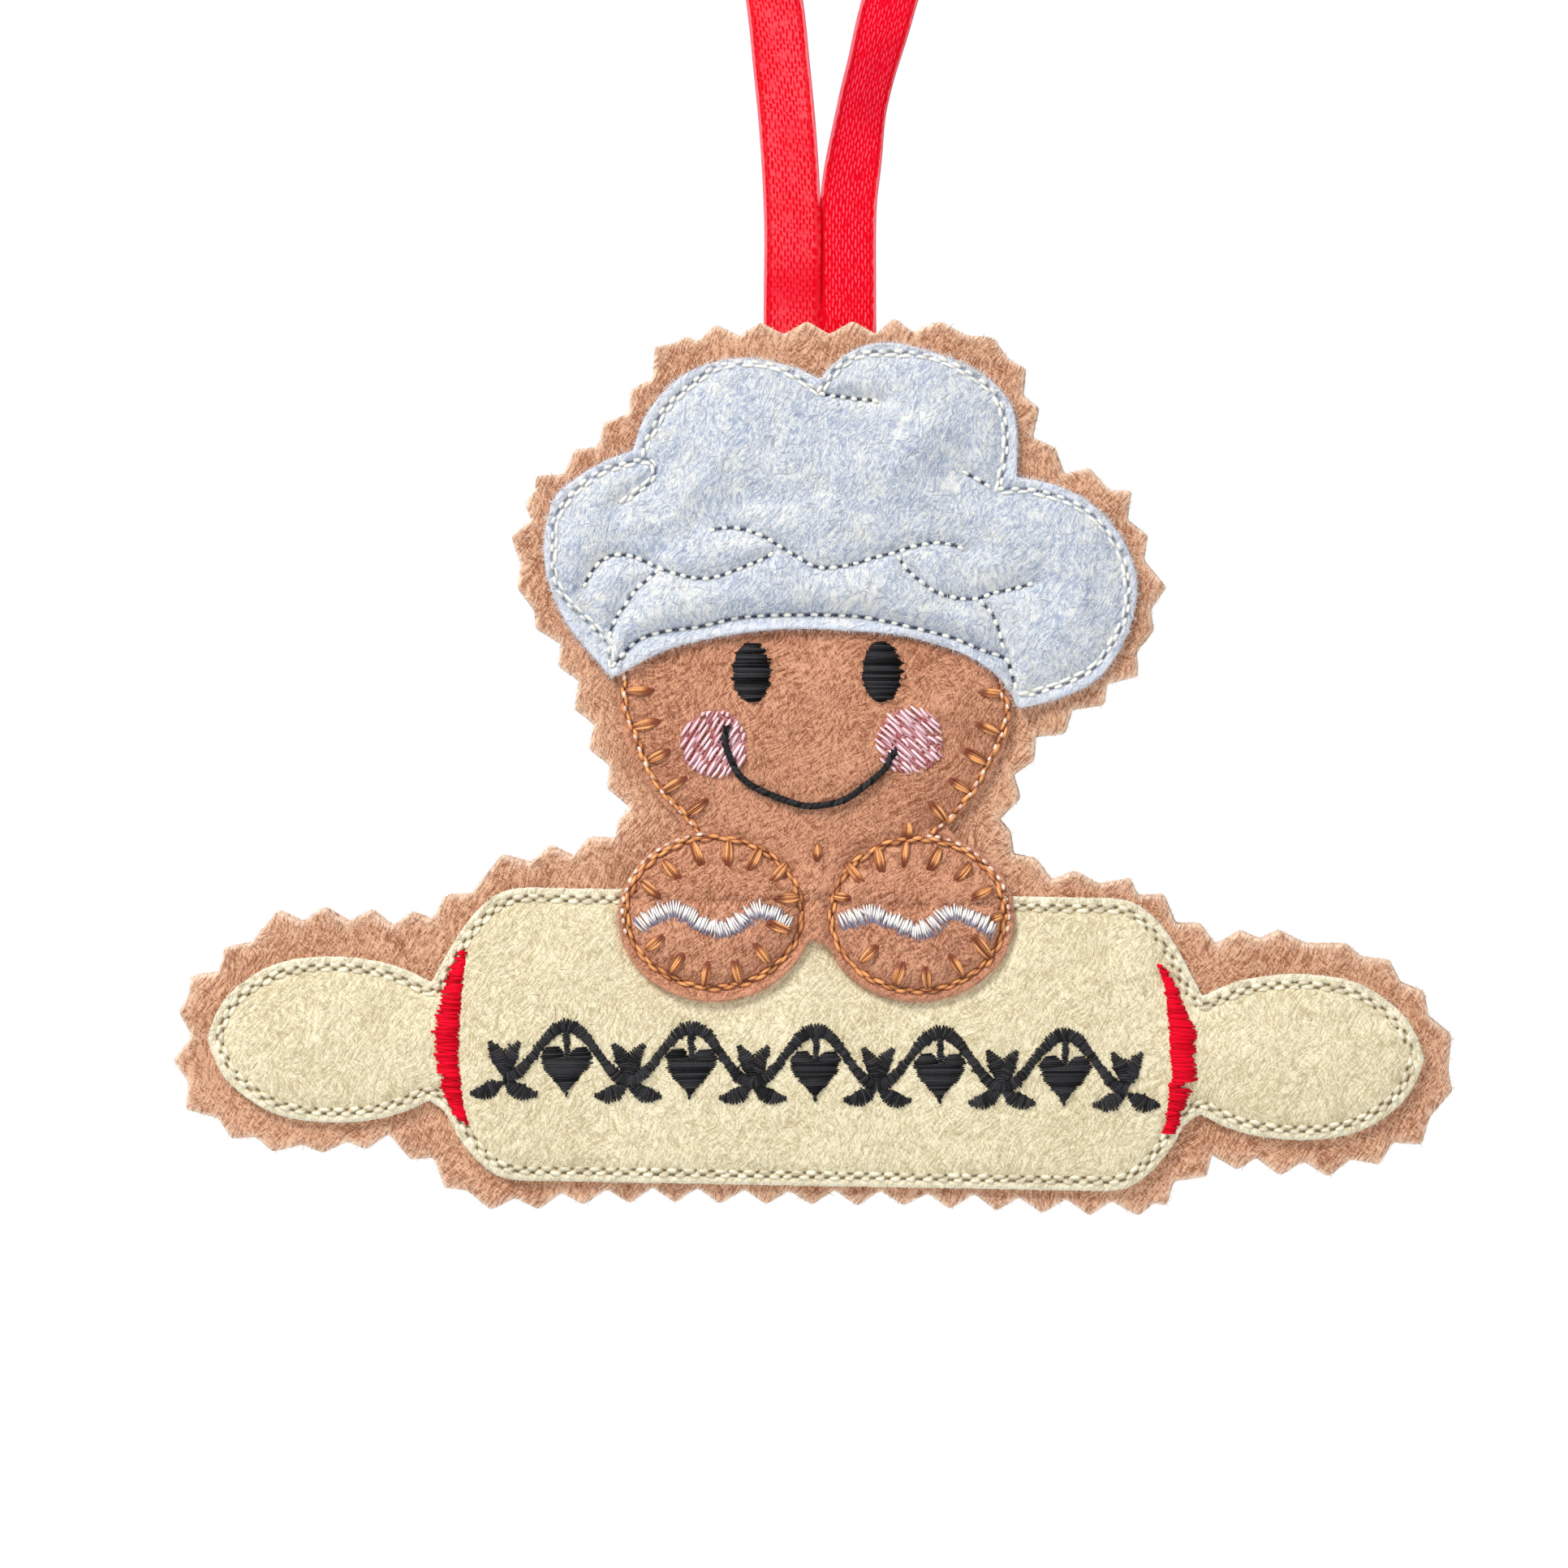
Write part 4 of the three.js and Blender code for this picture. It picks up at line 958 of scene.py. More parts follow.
pin_middle, pin_tilt = np.array([-0.5, -141.3]), math.radians(-1.04)
pin_edge = eased(cut_edge("rolling_pin_felt", corner_turn=0.6), 1)
pin_marks = Marks([closed_up(pin_edge)])
pin_seam = closed_up(seam_inset(pin_edge, pin_marks, inset=1.12))
paw_shapes = (((-11.8, -127.2), (9.7, 8.3)), ((10.8, -127.5), (9.6, 8.4)))
paw_seams = [
    np.array([
        (x + rx * math.cos(turn), z + rz * math.sin(turn))
        for turn in np.linspace(0, 2 * math.pi, 90)
    ])
    for (x, z), (rx, rz) in paw_shapes
]
pin_pressed = Marks([pin_seam, *paw_seams])
chance = np.random.default_rng(31)
pin_rows = [
    Row(chance, pin_seam, pitch=1.72, share=0.56, aside=0.27),
    Row(chance, pin_seam, pitch=1.72, share=0.62, aside=-0.27, phase=0.5),
]
pin_pricks = np.vstack([pin_rows[0].gaps(inset=0.18), pin_rows[1].gaps(inset=0.26)])
pin_holes = Holes(pin_pricks, radius=0.18)


def pin_height(at):
    rim = pin_marks.gap(at)
    thick = puffed(pin_pressed.gap(at), rim, puff=0.62)
    waves = 0.09 * uneven(at, size=7, seed=32)
    return front_height(at) + thick + waves - 0.3 * pin_holes.dark(at)


rolling_pin = felt_solid(
    "rolling_pin",
    pin_edge,
    seamed_filling(pin_edge, pin_marks, [pin_seam], coarse=0.62, clear=1.05),
    pin_height,
    lambda at: front_height(at) + 0.05,
    felt(
        "cream felt", light=(252, 242, 210), dark=(196, 180, 140), hole_shade=(150, 133, 108),
        rim=(255, 250, 228), contrast=0.85, lean=0.6, pile=0.00018,
    ),
    {"fuzz_and_edge_glow": lambda at: 1 - smooth(pin_marks.gap(at), 0, 1.2), "hole_shade": pin_holes.dark},
    bulge=0.12,
    seed=33,
)
laid_sheet(rolling_pin, pin_edge, "rolling_pin_felt")


def thread(name, light, dark, roughness=0.45, sheen=0.1, gloss=0.4):
    """Embroidery thread: many shiny filaments, a little paler and darker from stitch to stitch
    (mark tone) and along each one. The tone also carries painted shade and painted highlights."""
    surface = {"Roughness": roughness, "Specular IOR Level": gloss, "Sheen Weight": sheen}
    paint, shader, start = finish(name, surface)
    strands = start.blotches(0.00022, detail=3, roughness=0.6)
    tone = start.mark("tone") + (strands - 0.5) * 0.5
    drive(shader, "Base Color", tone.rise(-0.1, 1.1).mixed(dark, light))
    drive(shader, "Normal", raised(strands, distance=0.00004, strength=0.6))
    return paint


def stitch_tone(chance, radii, low=0.35, high=1.0):
    """Each stitch its own tone, with painted shade where it enters the felt."""
    number, rings = radii.shape
    share = np.linspace(-1, 1, rings)
    return chance.uniform(low, high, (number, 1)) * (1 - 0.35 * share**4)


def seam_threads(threads, chance, rows, top, radius, hidden=None, lift=0.12, low=0.35, high=1.0):
    """The threads of these rows, but for any that lie hidden under another piece."""
    for row in rows:
        laid, radii = row.threads(chance, top, radius, lift)
        if hidden is not None:
            shown = ~hidden(laid[:, Row.rings // 2][:, [0, 2]])
            laid, radii = laid[shown], radii[shown]
        threads.lay(laid, radii, stitch_tone(chance, radii, low, high))


bread_edge = eased(cut_edge("gingerbread_felt", corner_turn=0.6), 1)
bread_marks = Marks([closed_up(bread_edge)])


def under_bread(at):
    return within(at, bread_edge)


cream_thread = Threads()
seam_threads(cream_thread, chance, pin_rows, pin_height, radius=0.23, hidden=under_bread)
cream_thread.laid(
    "pin_seam_thread",
    thread("cream thread", (252, 247, 226), (196, 182, 150)),
    "cream_felt",
)


# The pin's two bands. Each is a block of red satin stitch, worked across a few long underlay
# stitches. Its ends are uneven, and the right one parts into groups from its outer side.
def bar(starts, ends, top, arch, chance, radius, rings=9, dip=0.3, bow=0.0):
    """Threads stretched from one place to another over the surface, dipping in at their ends."""
    loosely = 0.12
    starts, ends = np.asarray(starts, float), np.asarray(ends, float)
    number = len(starts)
    share = np.linspace(0, 1, rings)
    flat = starts[:, None] * (1 - share[:, None]) + ends[:, None] * share[:, None]
    ahead = ends - starts
    ahead = ahead / np.maximum(np.linalg.norm(ahead, axis=1), 1e-6)[:, None]
    aside = np.stack([-ahead[:, 1], ahead[:, 0]], 1)
    bows = bow * chance.normal(0, 1, (number, 1, 1)) * np.sin(share * math.pi)[None, :, None]
    flat = flat + aside[:, None] * bows
    profile = 1 - np.abs(2 * share - 1) ** 3
    base = top(flat.reshape(-1, 2)).reshape(number, rings)
    steady = base.mean(1)[:, None] * 0.6 + base * 0.4
    tall = np.broadcast_to(np.asarray(arch, float).reshape(-1, 1), (number, 1))
    tall = tall * chance.uniform(1 - loosely, 1 + loosely, (number, 1))
    height = steady + tall * profile - dip * (1 - profile)
    radii = radius * (0.62 + 0.38 * profile**0.5) * chance.uniform(0.88, 1.1, (number, 1))
    return np.stack([flat[..., 0], -height, flat[..., 1]], -1), radii


def satin_tone(chance, radii, low, high, left=0.0):
    """Each thread its own tone, with painted shade at its ends, and a painted highlight on its
    left part, towards the key lamp, if asked.
    """
    number, rings = radii.shape
    share = np.linspace(0, 1, rings)
    tone = chance.uniform(low, high, (number, 1)) * (1 - 0.45 * np.abs(2 * share - 1) ** 3)
    return tone + left * (0.5 - share)


band_left_in = [
    (-39.2, -131.1), (-39.4, -134), (-39.7, -137.6), (-39.9, -140.8), (-40, -143),
    (-39.6, -146.6), (-39.3, -149.3), (-39.1, -150.6),
]
band_left_out = [
    (-39.8, -131.5), (-40.8, -132.9), (-41, -133.7), (-41.7, -134.9), (-42.2, -136.7),
    (-42.7, -139.4), (-42.8, -141.2), (-42.8, -143), (-42.3, -145.3), (-41.9, -147.1),
    (-41.3, -148.9), (-40.4, -150), (-39.6, -150.6),
]
band_right_in = [
    (37.3, -132.8), (38.1, -135.4), (38.3, -137.6), (38.4, -141.2), (38.7, -144.8),
    (38.4, -148), (38.2, -150.7), (37.8, -151.7),
]
band_right_out = [
    (37.7, -132.9), (39.1, -134.5), (40, -136.7), (40.7, -138.1), (41.5, -139.9),
    (41.8, -141.2), (41.6, -143), (41.7, -145.3), (41.3, -146.6), (40.6, -148.4),
    (40.2, -149.8), (39.7, -151.1), (39.1, -151.9),
]
band_right_notches = [
    (-141.5, 0.5, 0.28), (-143, 0.25, 0.22), (-146.4, 1.7, 0.3), (-149.5, 0.7, 0.3),
    (-150.9, 0.5, 0.2),
]
red_paint = thread(
    "red thread", (252, 10, 48), (172, 0, 20), roughness=0.55, sheen=0.0, gloss=0.07
)
for name, inner, outer, notches in (
    ("left", band_left_in, band_left_out, []),
    ("right", band_right_in, band_right_out, band_right_notches),
):
    inner, outer = np.array(inner)[::-1], np.array(outer)[::-1]
    low, high = max(inner[0, 1], outer[0, 1]), min(inner[-1, 1], outer[-1, 1])
    band_thread = Threads()
    for radius, pitch, arch, ragged, inset in (
        (0.22, 0.45, 0.14, 0.25, 0.25),
        (0.15, 0.22, 0.42, 0.16, 0),
    ):
        rows = np.arange(low + 0.1, high, pitch)
        rows = rows + chance.normal(0, 0.035, len(rows))
        near, far = np.interp(rows, *inner.T[::-1]), np.interp(rows, *outer.T[::-1])
        out = np.sign(far.mean() - near.mean())
        for place, cut, reach in notches:
            far = far - out * cut * np.exp(-(((rows - place) / reach) ** 2))
        near = near + out * (chance.normal(0, ragged * 0.5, len(rows)) + inset)
        far = far + out * (chance.normal(0, ragged, len(rows)) - inset)
        slant = chance.normal(0, 0.05, len(rows)) - 0.06
        starts = np.stack([np.minimum(near, far), rows - slant], 1)
        ends = np.stack([np.maximum(near, far), rows + slant], 1)
        laid, radii = bar(starts, ends, pin_height, arch, chance, radius)
        # Tones lighter on each thread's left part: a painted highlight.
        band_thread.lay(laid, radii, satin_tone(chance, radii, 0.25, 1.0, left=0.3))
    block = band_thread.laid("band_thread_" + name, red_paint, "red_thread")
    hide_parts("pin_band_" + name)


# The pin's border. A wavy vine with leaves, and hearts at its crests, is worked along the barrel
# between the bands. It is black satin stitch that swells and thins.
def on_pin(places):
    """Places measured along and across the pin, as they lie on the decoration."""
    places = np.asarray(places, float)
    turn = np.array([
        [math.cos(pin_tilt), math.sin(pin_tilt)],
        [-math.sin(pin_tilt), math.cos(pin_tilt)],
    ])
    return places @ turn + pin_middle


def satin_column(threads, chance, run, widths):
    """Satin stitch along a run on the pin, its threads lying across it. The widths are spread
    evenly along the run."""
    step, pitch, arch, radius = 0.05, 0.27, 0.3, 0.15
    run = evenly(on_pin(run), step)
    out = sideways(run, closed=False)
    number = max(3, round(len(run) * step / pitch))
    stops = np.linspace(0, len(run) - 1, number)
    pick = stops.astype(int)
    half = np.interp(stops / (len(run) - 1), np.linspace(0, 1, len(widths)), widths) / 2
    lean = np.stack([out[pick, 1], -out[pick, 0]], 1) * 0.12
    ragged = np.abs(chance.normal(0, 0.12, (2, number, 1)))
    starts = run[pick] + (out[pick] + lean) * (half[:, None] + ragged[0])
    ends = run[pick] - (out[pick] + lean) * (half[:, None] + ragged[1])
    tall = arch * np.clip(half / 0.6, 0.45, 1.1)
    laid, radii = bar(starts, ends, pin_height, tall, chance, radius, rings=7, dip=0.22)
    # Tones lighter on each thread's left part: a painted highlight.
    threads.lay(laid, radii, satin_tone(chance, radii, 0.25, 0.9, left=0.15))


def satin_heart(threads, chance, foot, size):
    """A heart filled with level threads, its tip down, hung by its dip below a place."""
    pitch, radius = 0.24, 0.14
    turn = np.linspace(0, 2 * math.pi, 240, endpoint=False)
    outline = np.stack([
        16 * np.sin(turn) ** 3,
        13 * np.cos(turn) - 5 * np.cos(2 * turn) - 2 * np.cos(3 * turn) - np.cos(4 * turn) - 5,
    ], 1) / 32 * size
    after = np.roll(outline, -1, axis=0)
    starts, ends, tall = [], [], []
    for level in np.arange(outline[:, 1].min() + 0.1, outline[:, 1].max() - 0.05, pitch):
        crossed = (outline[:, 1] > level) != (after[:, 1] > level)
        a, b = outline[crossed], after[crossed]
        meets = np.sort(a[:, 0] + (level - a[:, 1]) * (b[:, 0] - a[:, 0]) / (b[:, 1] - a[:, 1]))
        for low, high in meets.reshape(-1, 2):
            ragged = chance.normal(0, 0.1, 2)
            starts.append((foot[0] + low + ragged[0], foot[1] + level - 0.08))
            ends.append((foot[0] + high + ragged[1], foot[1] + level + 0.08))
            tall.append(0.16 + 0.2 * min(1, (high - low) / 1.5))
    starts, ends = on_pin(starts), on_pin(ends)
    laid, radii = bar(starts, ends, pin_height, tall, chance, radius, rings=7, dip=0.22)
    # Tones lighter on each thread's left part: a painted highlight.
    threads.lay(laid, radii, satin_tone(chance, radii, 0.1, 0.9, left=0.2))


black_paint = thread(
    "black thread", (64, 63, 67), (1, 1, 2), roughness=0.5, sheen=0.0, gloss=0.08
)
vine_half, vine_middle, vine_swing, vine_wave = 34.5, -1.9, 3.0, 13.8
border_thread = Threads()
along_vine = np.linspace(-vine_half, vine_half, 260)
vine = np.stack(
    [along_vine, vine_middle + vine_swing * np.cos(along_vine * 2 * math.pi / vine_wave)], 1
)
swelling = 1.15 + 0.3 * np.cos(along_vine * 4 * math.pi / vine_wave)
satin_column(border_thread, chance, vine, swelling)
stalk_widths, leaf_widths = [0.7, 0.45], [0.3, 1.2, 1.75, 1.9, 1.6, 1.0, 0.4]
leaf, shoot = ((0.1, 0.5), (0.5, 2.2), (1.6, 4.0)), ((0.3, -0.5), (1.9, -1.5), (3.6, -1.7))
for k in range(-5, 6):
    foot = np.array([k * vine_wave / 2, vine_middle + vine_swing * math.cos(k * math.pi)])
    if k % 2 == 0:
        satin_heart(border_thread, chance, foot - (0, 3.6), size=6.2)
        satin_column(border_thread, chance, [foot, foot - (0, 3.8)], stalk_widths)
        continue
    for side in (-1, 1):
        for blade in (leaf, shoot):
            run = curve([foot + (side * x, z) for x, z in blade], 0.1)
            satin_column(border_thread, chance, run, leaf_widths)
border_thread.laid("border_thread", black_paint, "black_thread")


# The gingerbread figure. One piece of brown felt is head, body and both paws. It is sewn down
# with a copper cord of thread along the head and round each paw, pale running stitches beside it.
# Blanket-stitch ticks of the same copper thread reach inwards from the cord.
head_left = [
    (-22.1, -99.4), (-21.7, -100.5), (-21.8, -102.5), (-21.5, -105.1), (-20.5, -107.6),
    (-19.3, -110.8), (-17.4, -113.9), (-15, -116.5), (-13.5, -118.2),
]
head_right = [
    (20, -101.2), (20.2, -103), (20.8, -104.5), (20.2, -107.4), (18.8, -110.2),
    (17.1, -113.4), (15.1, -116), (13.3, -117.7), (12.5, -118.5),
]
brim = [
    (-23.1, -100), (-20.5, -97.2), (-17.6, -96.1), (-13, -95.4), (-8.9, -94.5),
    (-3.2, -94.2), (3.3, -94.3), (7.6, -95), (11.9, -96), (15.1, -96.9), (17.9, -98.1),
    (20.5, -99.1), (21.2, -100.7), (22, -103.2),
]
head_left, head_right, brim = (curve(run, 0.2) for run in (head_left, head_right, brim))
bread_seams = [head_left, head_right, *paw_seams, brim]
bread_pressed = Marks(bread_seams)
bread_rows = [Row(chance, run, pitch=1.5, share=0.8) for run in (head_left, head_right)]
bread_holes = Holes(np.vstack([row.gaps(inset=0.1) for row in bread_rows]), radius=0.22)


def resting(at, lower, lower_edge, lower_marks):
    """The height a piece rests at: on the base, or over a lower piece that it laps. It comes
    down to the base over a short reach outside that piece's edge."""
    drape_height, drape_reach = 1.0, 3.0
    base = front_height(at)
    inside = within(at, lower_edge)
    over = np.where(inside, lower(at), base + drape_height)
    share = np.where(inside, 1.0, 1 - smooth(lower_marks.gap(at), 0.2, drape_reach))
    return base + (over - base) * share


def bread_rest(at):
    return resting(at, pin_height, pin_edge, pin_marks)


def bread_height(at):
    rim = bread_marks.gap(at)
    thick = puffed(bread_pressed.gap(at), rim, puff=0.6)
    waves = 0.08 * uneven(at, size=6, seed=42)
    return bread_rest(at) + thick + waves - 0.25 * bread_holes.dark(at)


gingerbread = felt_solid(
    "gingerbread",
    bread_edge,
    seamed_filling(bread_edge, bread_marks, bread_seams, coarse=0.5, clear=1.0),
    bread_height,
    lambda at: bread_rest(at) + 0.05,
    felt(
        "gingerbread felt", light=(228, 168, 135), dark=(140, 82, 55), hole_shade=(78, 46, 32),
        rim=(214, 152, 120), contrast=0.8, lean=0.9, pile=0.00015,
    ),
    {"fuzz_and_edge_glow": lambda at: 1 - smooth(bread_marks.gap(at), 0, 0.8), "hole_shade": bread_holes.dark},
    bulge=0.12,
    seed=43,
)
laid_sheet(
    gingerbread, bread_edge, "gingerbread_felt",
)


def twisted(run, top, strands, twist_radius, lay_length, raised_by):
    """A cord of twisted plies laid along a run: one run of points for each ply."""
    step, evened_over = 0.14, 9
    run = evenly(run, step)
    out = sideways(run, closed=False)
    kernel = np.ones(evened_over) / evened_over
    base = np.convolve(np.pad(top(run), evened_over // 2, mode="edge"), kernel, mode="valid")
    turn = np.arange(len(run)) * step / lay_length * 2 * math.pi
    plies = []
    for k in range(strands):
        phase = turn + k * 2 * math.pi / strands
        at = run + out * (np.cos(phase) * twist_radius)[:, None]
        height = base + raised_by + np.sin(phase) * twist_radius
        plies.append(np.stack([at[:, 0], -height, at[:, 1]], 1))
    return np.stack(plies)


figure_thread = Threads()
for seam in (*paw_seams, head_left, head_right):
    # A dark twisted under-thread along each seam, in the darkest tone: painted shade between and
    # beside the stitches over it.
    under = twisted(seam, bread_height, strands=2, twist_radius=0.2, lay_length=7.0, raised_by=0.0)
    figure_thread.lay(under, radii=0.14, tones=0.1)
    for aside, phase in ((-0.15, 0.0), (0.15, 0.5)):
        row = Row(chance, seam, pitch=1.75, share=0.92, aside=aside, phase=phase)
        laid, radii = row.threads(chance, bread_height, radius=0.2, lift=0.28, stray=0.08)
        # Each stitch is painted light in its middle and dark at both ends: a painted highlight and
        # painted shade.
        glow = 1 - np.abs(np.linspace(-1.05, 0.95, Row.rings)) ** 1.3
        tones = (glow - 0.02) * chance.uniform(0.45, 1.25, (len(laid), 1))
        figure_thread.lay(laid, radii, tones)
ticks = [
    (-21.7, -102.6, -18.6, -102.6), (-20.8, -106.6, -17.9, -106), (-19.1, -110.4, -16.9, -109.3),
    (-17.5, -113.8, -14.9, -112.2), (-14.8, -116.3, -12.6, -114.8), (20.2, -103, 17.7, -102.8),
    (19.9, -107.4, 17.5, -106.3), (18.4, -110.6, 16, -109.3), (16.6, -113.8, 14.5, -112.5),
    (13.9, -117.1, 12.2, -115.1), (-0.4, -119.6, -0.4, -121), (9.7, -117.1, 9.7, -118.7),
    (-19.9, -123.7, -17.9, -125.4), (-17.4, -121.4, -15.6, -123.5), (-14.2, -119.3, -13.2, -121.9),
    (-10.2, -119.2, -10.3, -121.9), (-6.6, -120, -7.9, -122.5), (-3.7, -121.7, -5.5, -123.9),
    (-2.3, -125.5, -4.8, -125.7), (-19.3, -131.3, -17.4, -129.7), (-16.7, -133.8, -15.2, -131.7),
    (-12.9, -135.3, -12.5, -132.6), (-8.9, -135.1, -9.6, -132.4), (-5.7, -132.8, -7.3, -130.6),
    (-3.3, -129.3, -5.9, -128.2), (1.3, -125.3, 3.1, -125.6), (2.9, -121.8, 4.7, -124.1),
    (6.2, -119.9, 6.8, -122.6), (9.5, -119.2, 9.3, -121.9), (13.2, -120.1, 12.2, -122.3),
    (16.6, -121.7, 14.8, -123.7), (19, -124.4, 16.8, -125.5), (20.2, -127.5, 19, -127.9),
    (4.4, -132.7, 6.2, -131), (8.2, -135.2, 9.1, -132.6), (11.9, -135.6, 11.6, -133.1),
    (15.7, -134.2, 14.3, -131.8), (18.9, -132.2, 16.6, -129.5),
]
along_tick = np.linspace(0, 1, 9)
for x0, z0, x1, z1 in ticks:
    outer, inner = np.array([x0, z0]), np.array([x1, z1])
    ahead = (inner - outer) / np.linalg.norm(inner - outer)
    side = np.array([-ahead[1], ahead[0]])
    # The lower layer is given dark tones, painted shade under the upper threads.
    for offsets, radius, arch, low, high in (
        ((-0.4, -0.14, 0.14, 0.4), 0.15, 0.08, 0.1, 0.3),
        ((-0.42, -0.14, 0.14, 0.42), 0.145, 0.3, 0.1, 1.2),
    ):
        spread = np.array(offsets)[:, None] * side
        starts = outer + spread * 0.45 + chance.normal(0, 0.05, spread.shape)
        ends = inner + ahead * 0.45 + spread * 0.2 + chance.normal(0, 0.07, spread.shape)
        laid, radii = bar(starts, ends, bread_height, arch, chance, radius, dip=0.1)
        bulge_out = np.sin(along_tick * math.pi)[None, :, None] * spread[:, None] * 0.6
        laid[..., [0, 2]] += bulge_out
        tones = satin_tone(chance, radii, low, high)
        if high > 1:
            tones = tones * 0.4 + chance.permutation([0.7, 0.05, 0.55, 0.15])[:, None]
        # Painted shade: each tick darkens towards its inner tip and at its outer end, where the
        # threads go into the felt.
        painted_end_shade = 1 - 0.95 * smooth(along_tick, 0.5, 0.72)
        figure_thread.lay(laid, radii, tones * painted_end_shade * smooth(along_tick, -0.15, 0.25))
figure_thread.laid(
    "figure_thread",
    thread("brown thread", (255, 180, 112), (118, 44, 10), roughness=0.5),
    "gingerbread_felt",
)
pale_thread = Threads()
pale_rows = [
    Row(chance, run, pitch=1.6, share=0.42, aside=0.08) for run in (head_left, head_right)
]
for ((x, z), (rx, rz)), (first, last) in zip(paw_shapes, ((195, 95), (85, -15))):
    turn = np.radians(np.linspace(first, last, 40))
    arc = np.stack([x + (rx + 0.45) * np.cos(turn), z + (rz + 0.45) * np.sin(turn)], 1)
    pale_rows.append(Row(chance, arc, pitch=1.15, share=0.45))
seam_threads(
    pale_thread, chance, pale_rows, bread_height, radius=0.2, lift=0.33, low=0.5, high=1.1
)
pale_thread.laid(
    "bread_seam_thread",
    thread("pale thread", (255, 236, 220), (196, 138, 112)),
    "gingerbread_felt",
)


# The face. The eyes are upright ovals of black satin stitch. The cheeks are discs of pink thread,
# one layer laid across under two along. The smile is a black cord of thread couched down, with a
# knot at one end.
def satin_oval(threads, chance, middle, half, spikes):
    """An oval filled with level threads over an underlay, with ragged ends and a few spikes."""
    radius, arch, ragged = 0.125, 0.42, 0.26
    for step, thick, tall, inset, stray_ends in (
        (0.34, radius * 1.25, arch * 0.35, 0.35, ()),
        (0.19, radius, arch, 0.0, spikes),
    ):
        levels = np.arange(-half[1] + 0.12, half[1] - 0.05, step)
        width = half[0] * np.sqrt(np.clip(1 - (levels / half[1]) ** 2, 0.02, 1)) - inset
        levels = levels + chance.normal(0, 0.02, len(levels))
        left = -width - np.abs(chance.normal(0, ragged * 0.6, len(levels)))
        right = width + np.abs(chance.normal(0, ragged, len(levels)))
        for side, place, reach in stray_ends:
            nearest = np.argmin(np.abs(levels - place))
            (right if side > 0 else left)[nearest] += side * reach
        slant = chance.normal(0, 0.03, len(levels))
        starts = np.stack([middle[0] + left, middle[1] + levels - slant], 1)
        ends = np.stack([middle[0] + right, middle[1] + levels + slant], 1)
        swell = tall * (0.55 + 0.45 * np.sqrt(np.clip(1 - (levels / half[1]) ** 2, 0, 1)))
        laid, radii = bar(starts, ends, bread_height, swell, chance, thick, dip=0.25)
        # Tones lighter on each thread's left part, a painted highlight, and darker at its ends,
        # painted shade.
        threads.lay(laid, radii, satin_tone(chance, radii, -0.1, 0.85, left=0.4))


chance = np.random.default_rng(51)
for name, middle, half, spikes in (
    ("left", (-7.72, -100.55), (2.2, 3.3), [(1, 0.2, 0.3), (1, -1.3, 0.25), (-1, -0.6, 0.2)]),
    ("right", (6.72, -100.5), (2.3, 3.35), [(1, 1.1, 0.35), (1, 0.0, 0.45), (1, -1.5, 0.3)]),
):
    eye_thread = Threads()
    satin_oval(eye_thread, chance, middle, half, spikes)
    if name == "right":
        loose_end = curve([(8.6, -101.0), (9.1, -101.35), (9.5, -101.2), (9.35, -100.85)], 0.1)
        depth = -bread_height(loose_end) - 0.2
        laid = np.stack([loose_end[:, 0], depth, loose_end[:, 1]], 1)[None]
        eye_thread.lay(laid, radii=0.06, tones=0.2)
    eye = eye_thread.laid("eye_thread_" + name, black_paint, "black_thread")
    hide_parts("eye_" + name)

pink_paint = thread("pink thread", (255, 228, 235), (168, 64, 70))
cheek_half = 3.72
for name, middle, steep in (("left", (-11.8, -108.55), 57), ("right", (9.85, -108.1), -42)):
    cheek_thread = Threads()
    # The two lower layers are given dark tones, painted shade under the pale upper layer.
    for lean, pitch, radius, arch, low, high, longest in (
        (steep + 90, 0.55, 0.16, 0.08, 0.0, 0.3, 9.0),
        (steep, 0.42, 0.15, 0.2, 0.05, 0.5, 9.0),
        (steep, 0.58, 0.16, 0.36, 0.75, 1.25, 2.9),
    ):
        ahead = np.array([math.cos(math.radians(lean)), math.sin(math.radians(lean))])
        side = np.array([-ahead[1], ahead[0]])
        starts, ends = [], []
        for level in np.arange(-cheek_half + 0.2, cheek_half - 0.1, pitch):
            reach = math.sqrt(cheek_half**2 - level**2) + chance.normal(0, 0.15)
            place = -reach
            while place < reach - 0.4:
                last = min(place + longest * chance.uniform(0.45, 1), reach)
                slips = chance.normal(0, 0.07, 2) + level
                starts.append(np.array(middle) + ahead * place + side * slips[0])
                ends.append(np.array(middle) + ahead * last + side * slips[1])
                place = last + 0.15
        laid, radii = bar(
            starts, ends, bread_height, arch, chance, radius, rings=8, dip=0.2, bow=0.08
        )
        cheek_thread.lay(laid, radii, satin_tone(chance, radii, low, high))
    cheek = cheek_thread.laid("cheek_thread_" + name, pink_paint, "pink_thread")
    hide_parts("cheek_" + name)

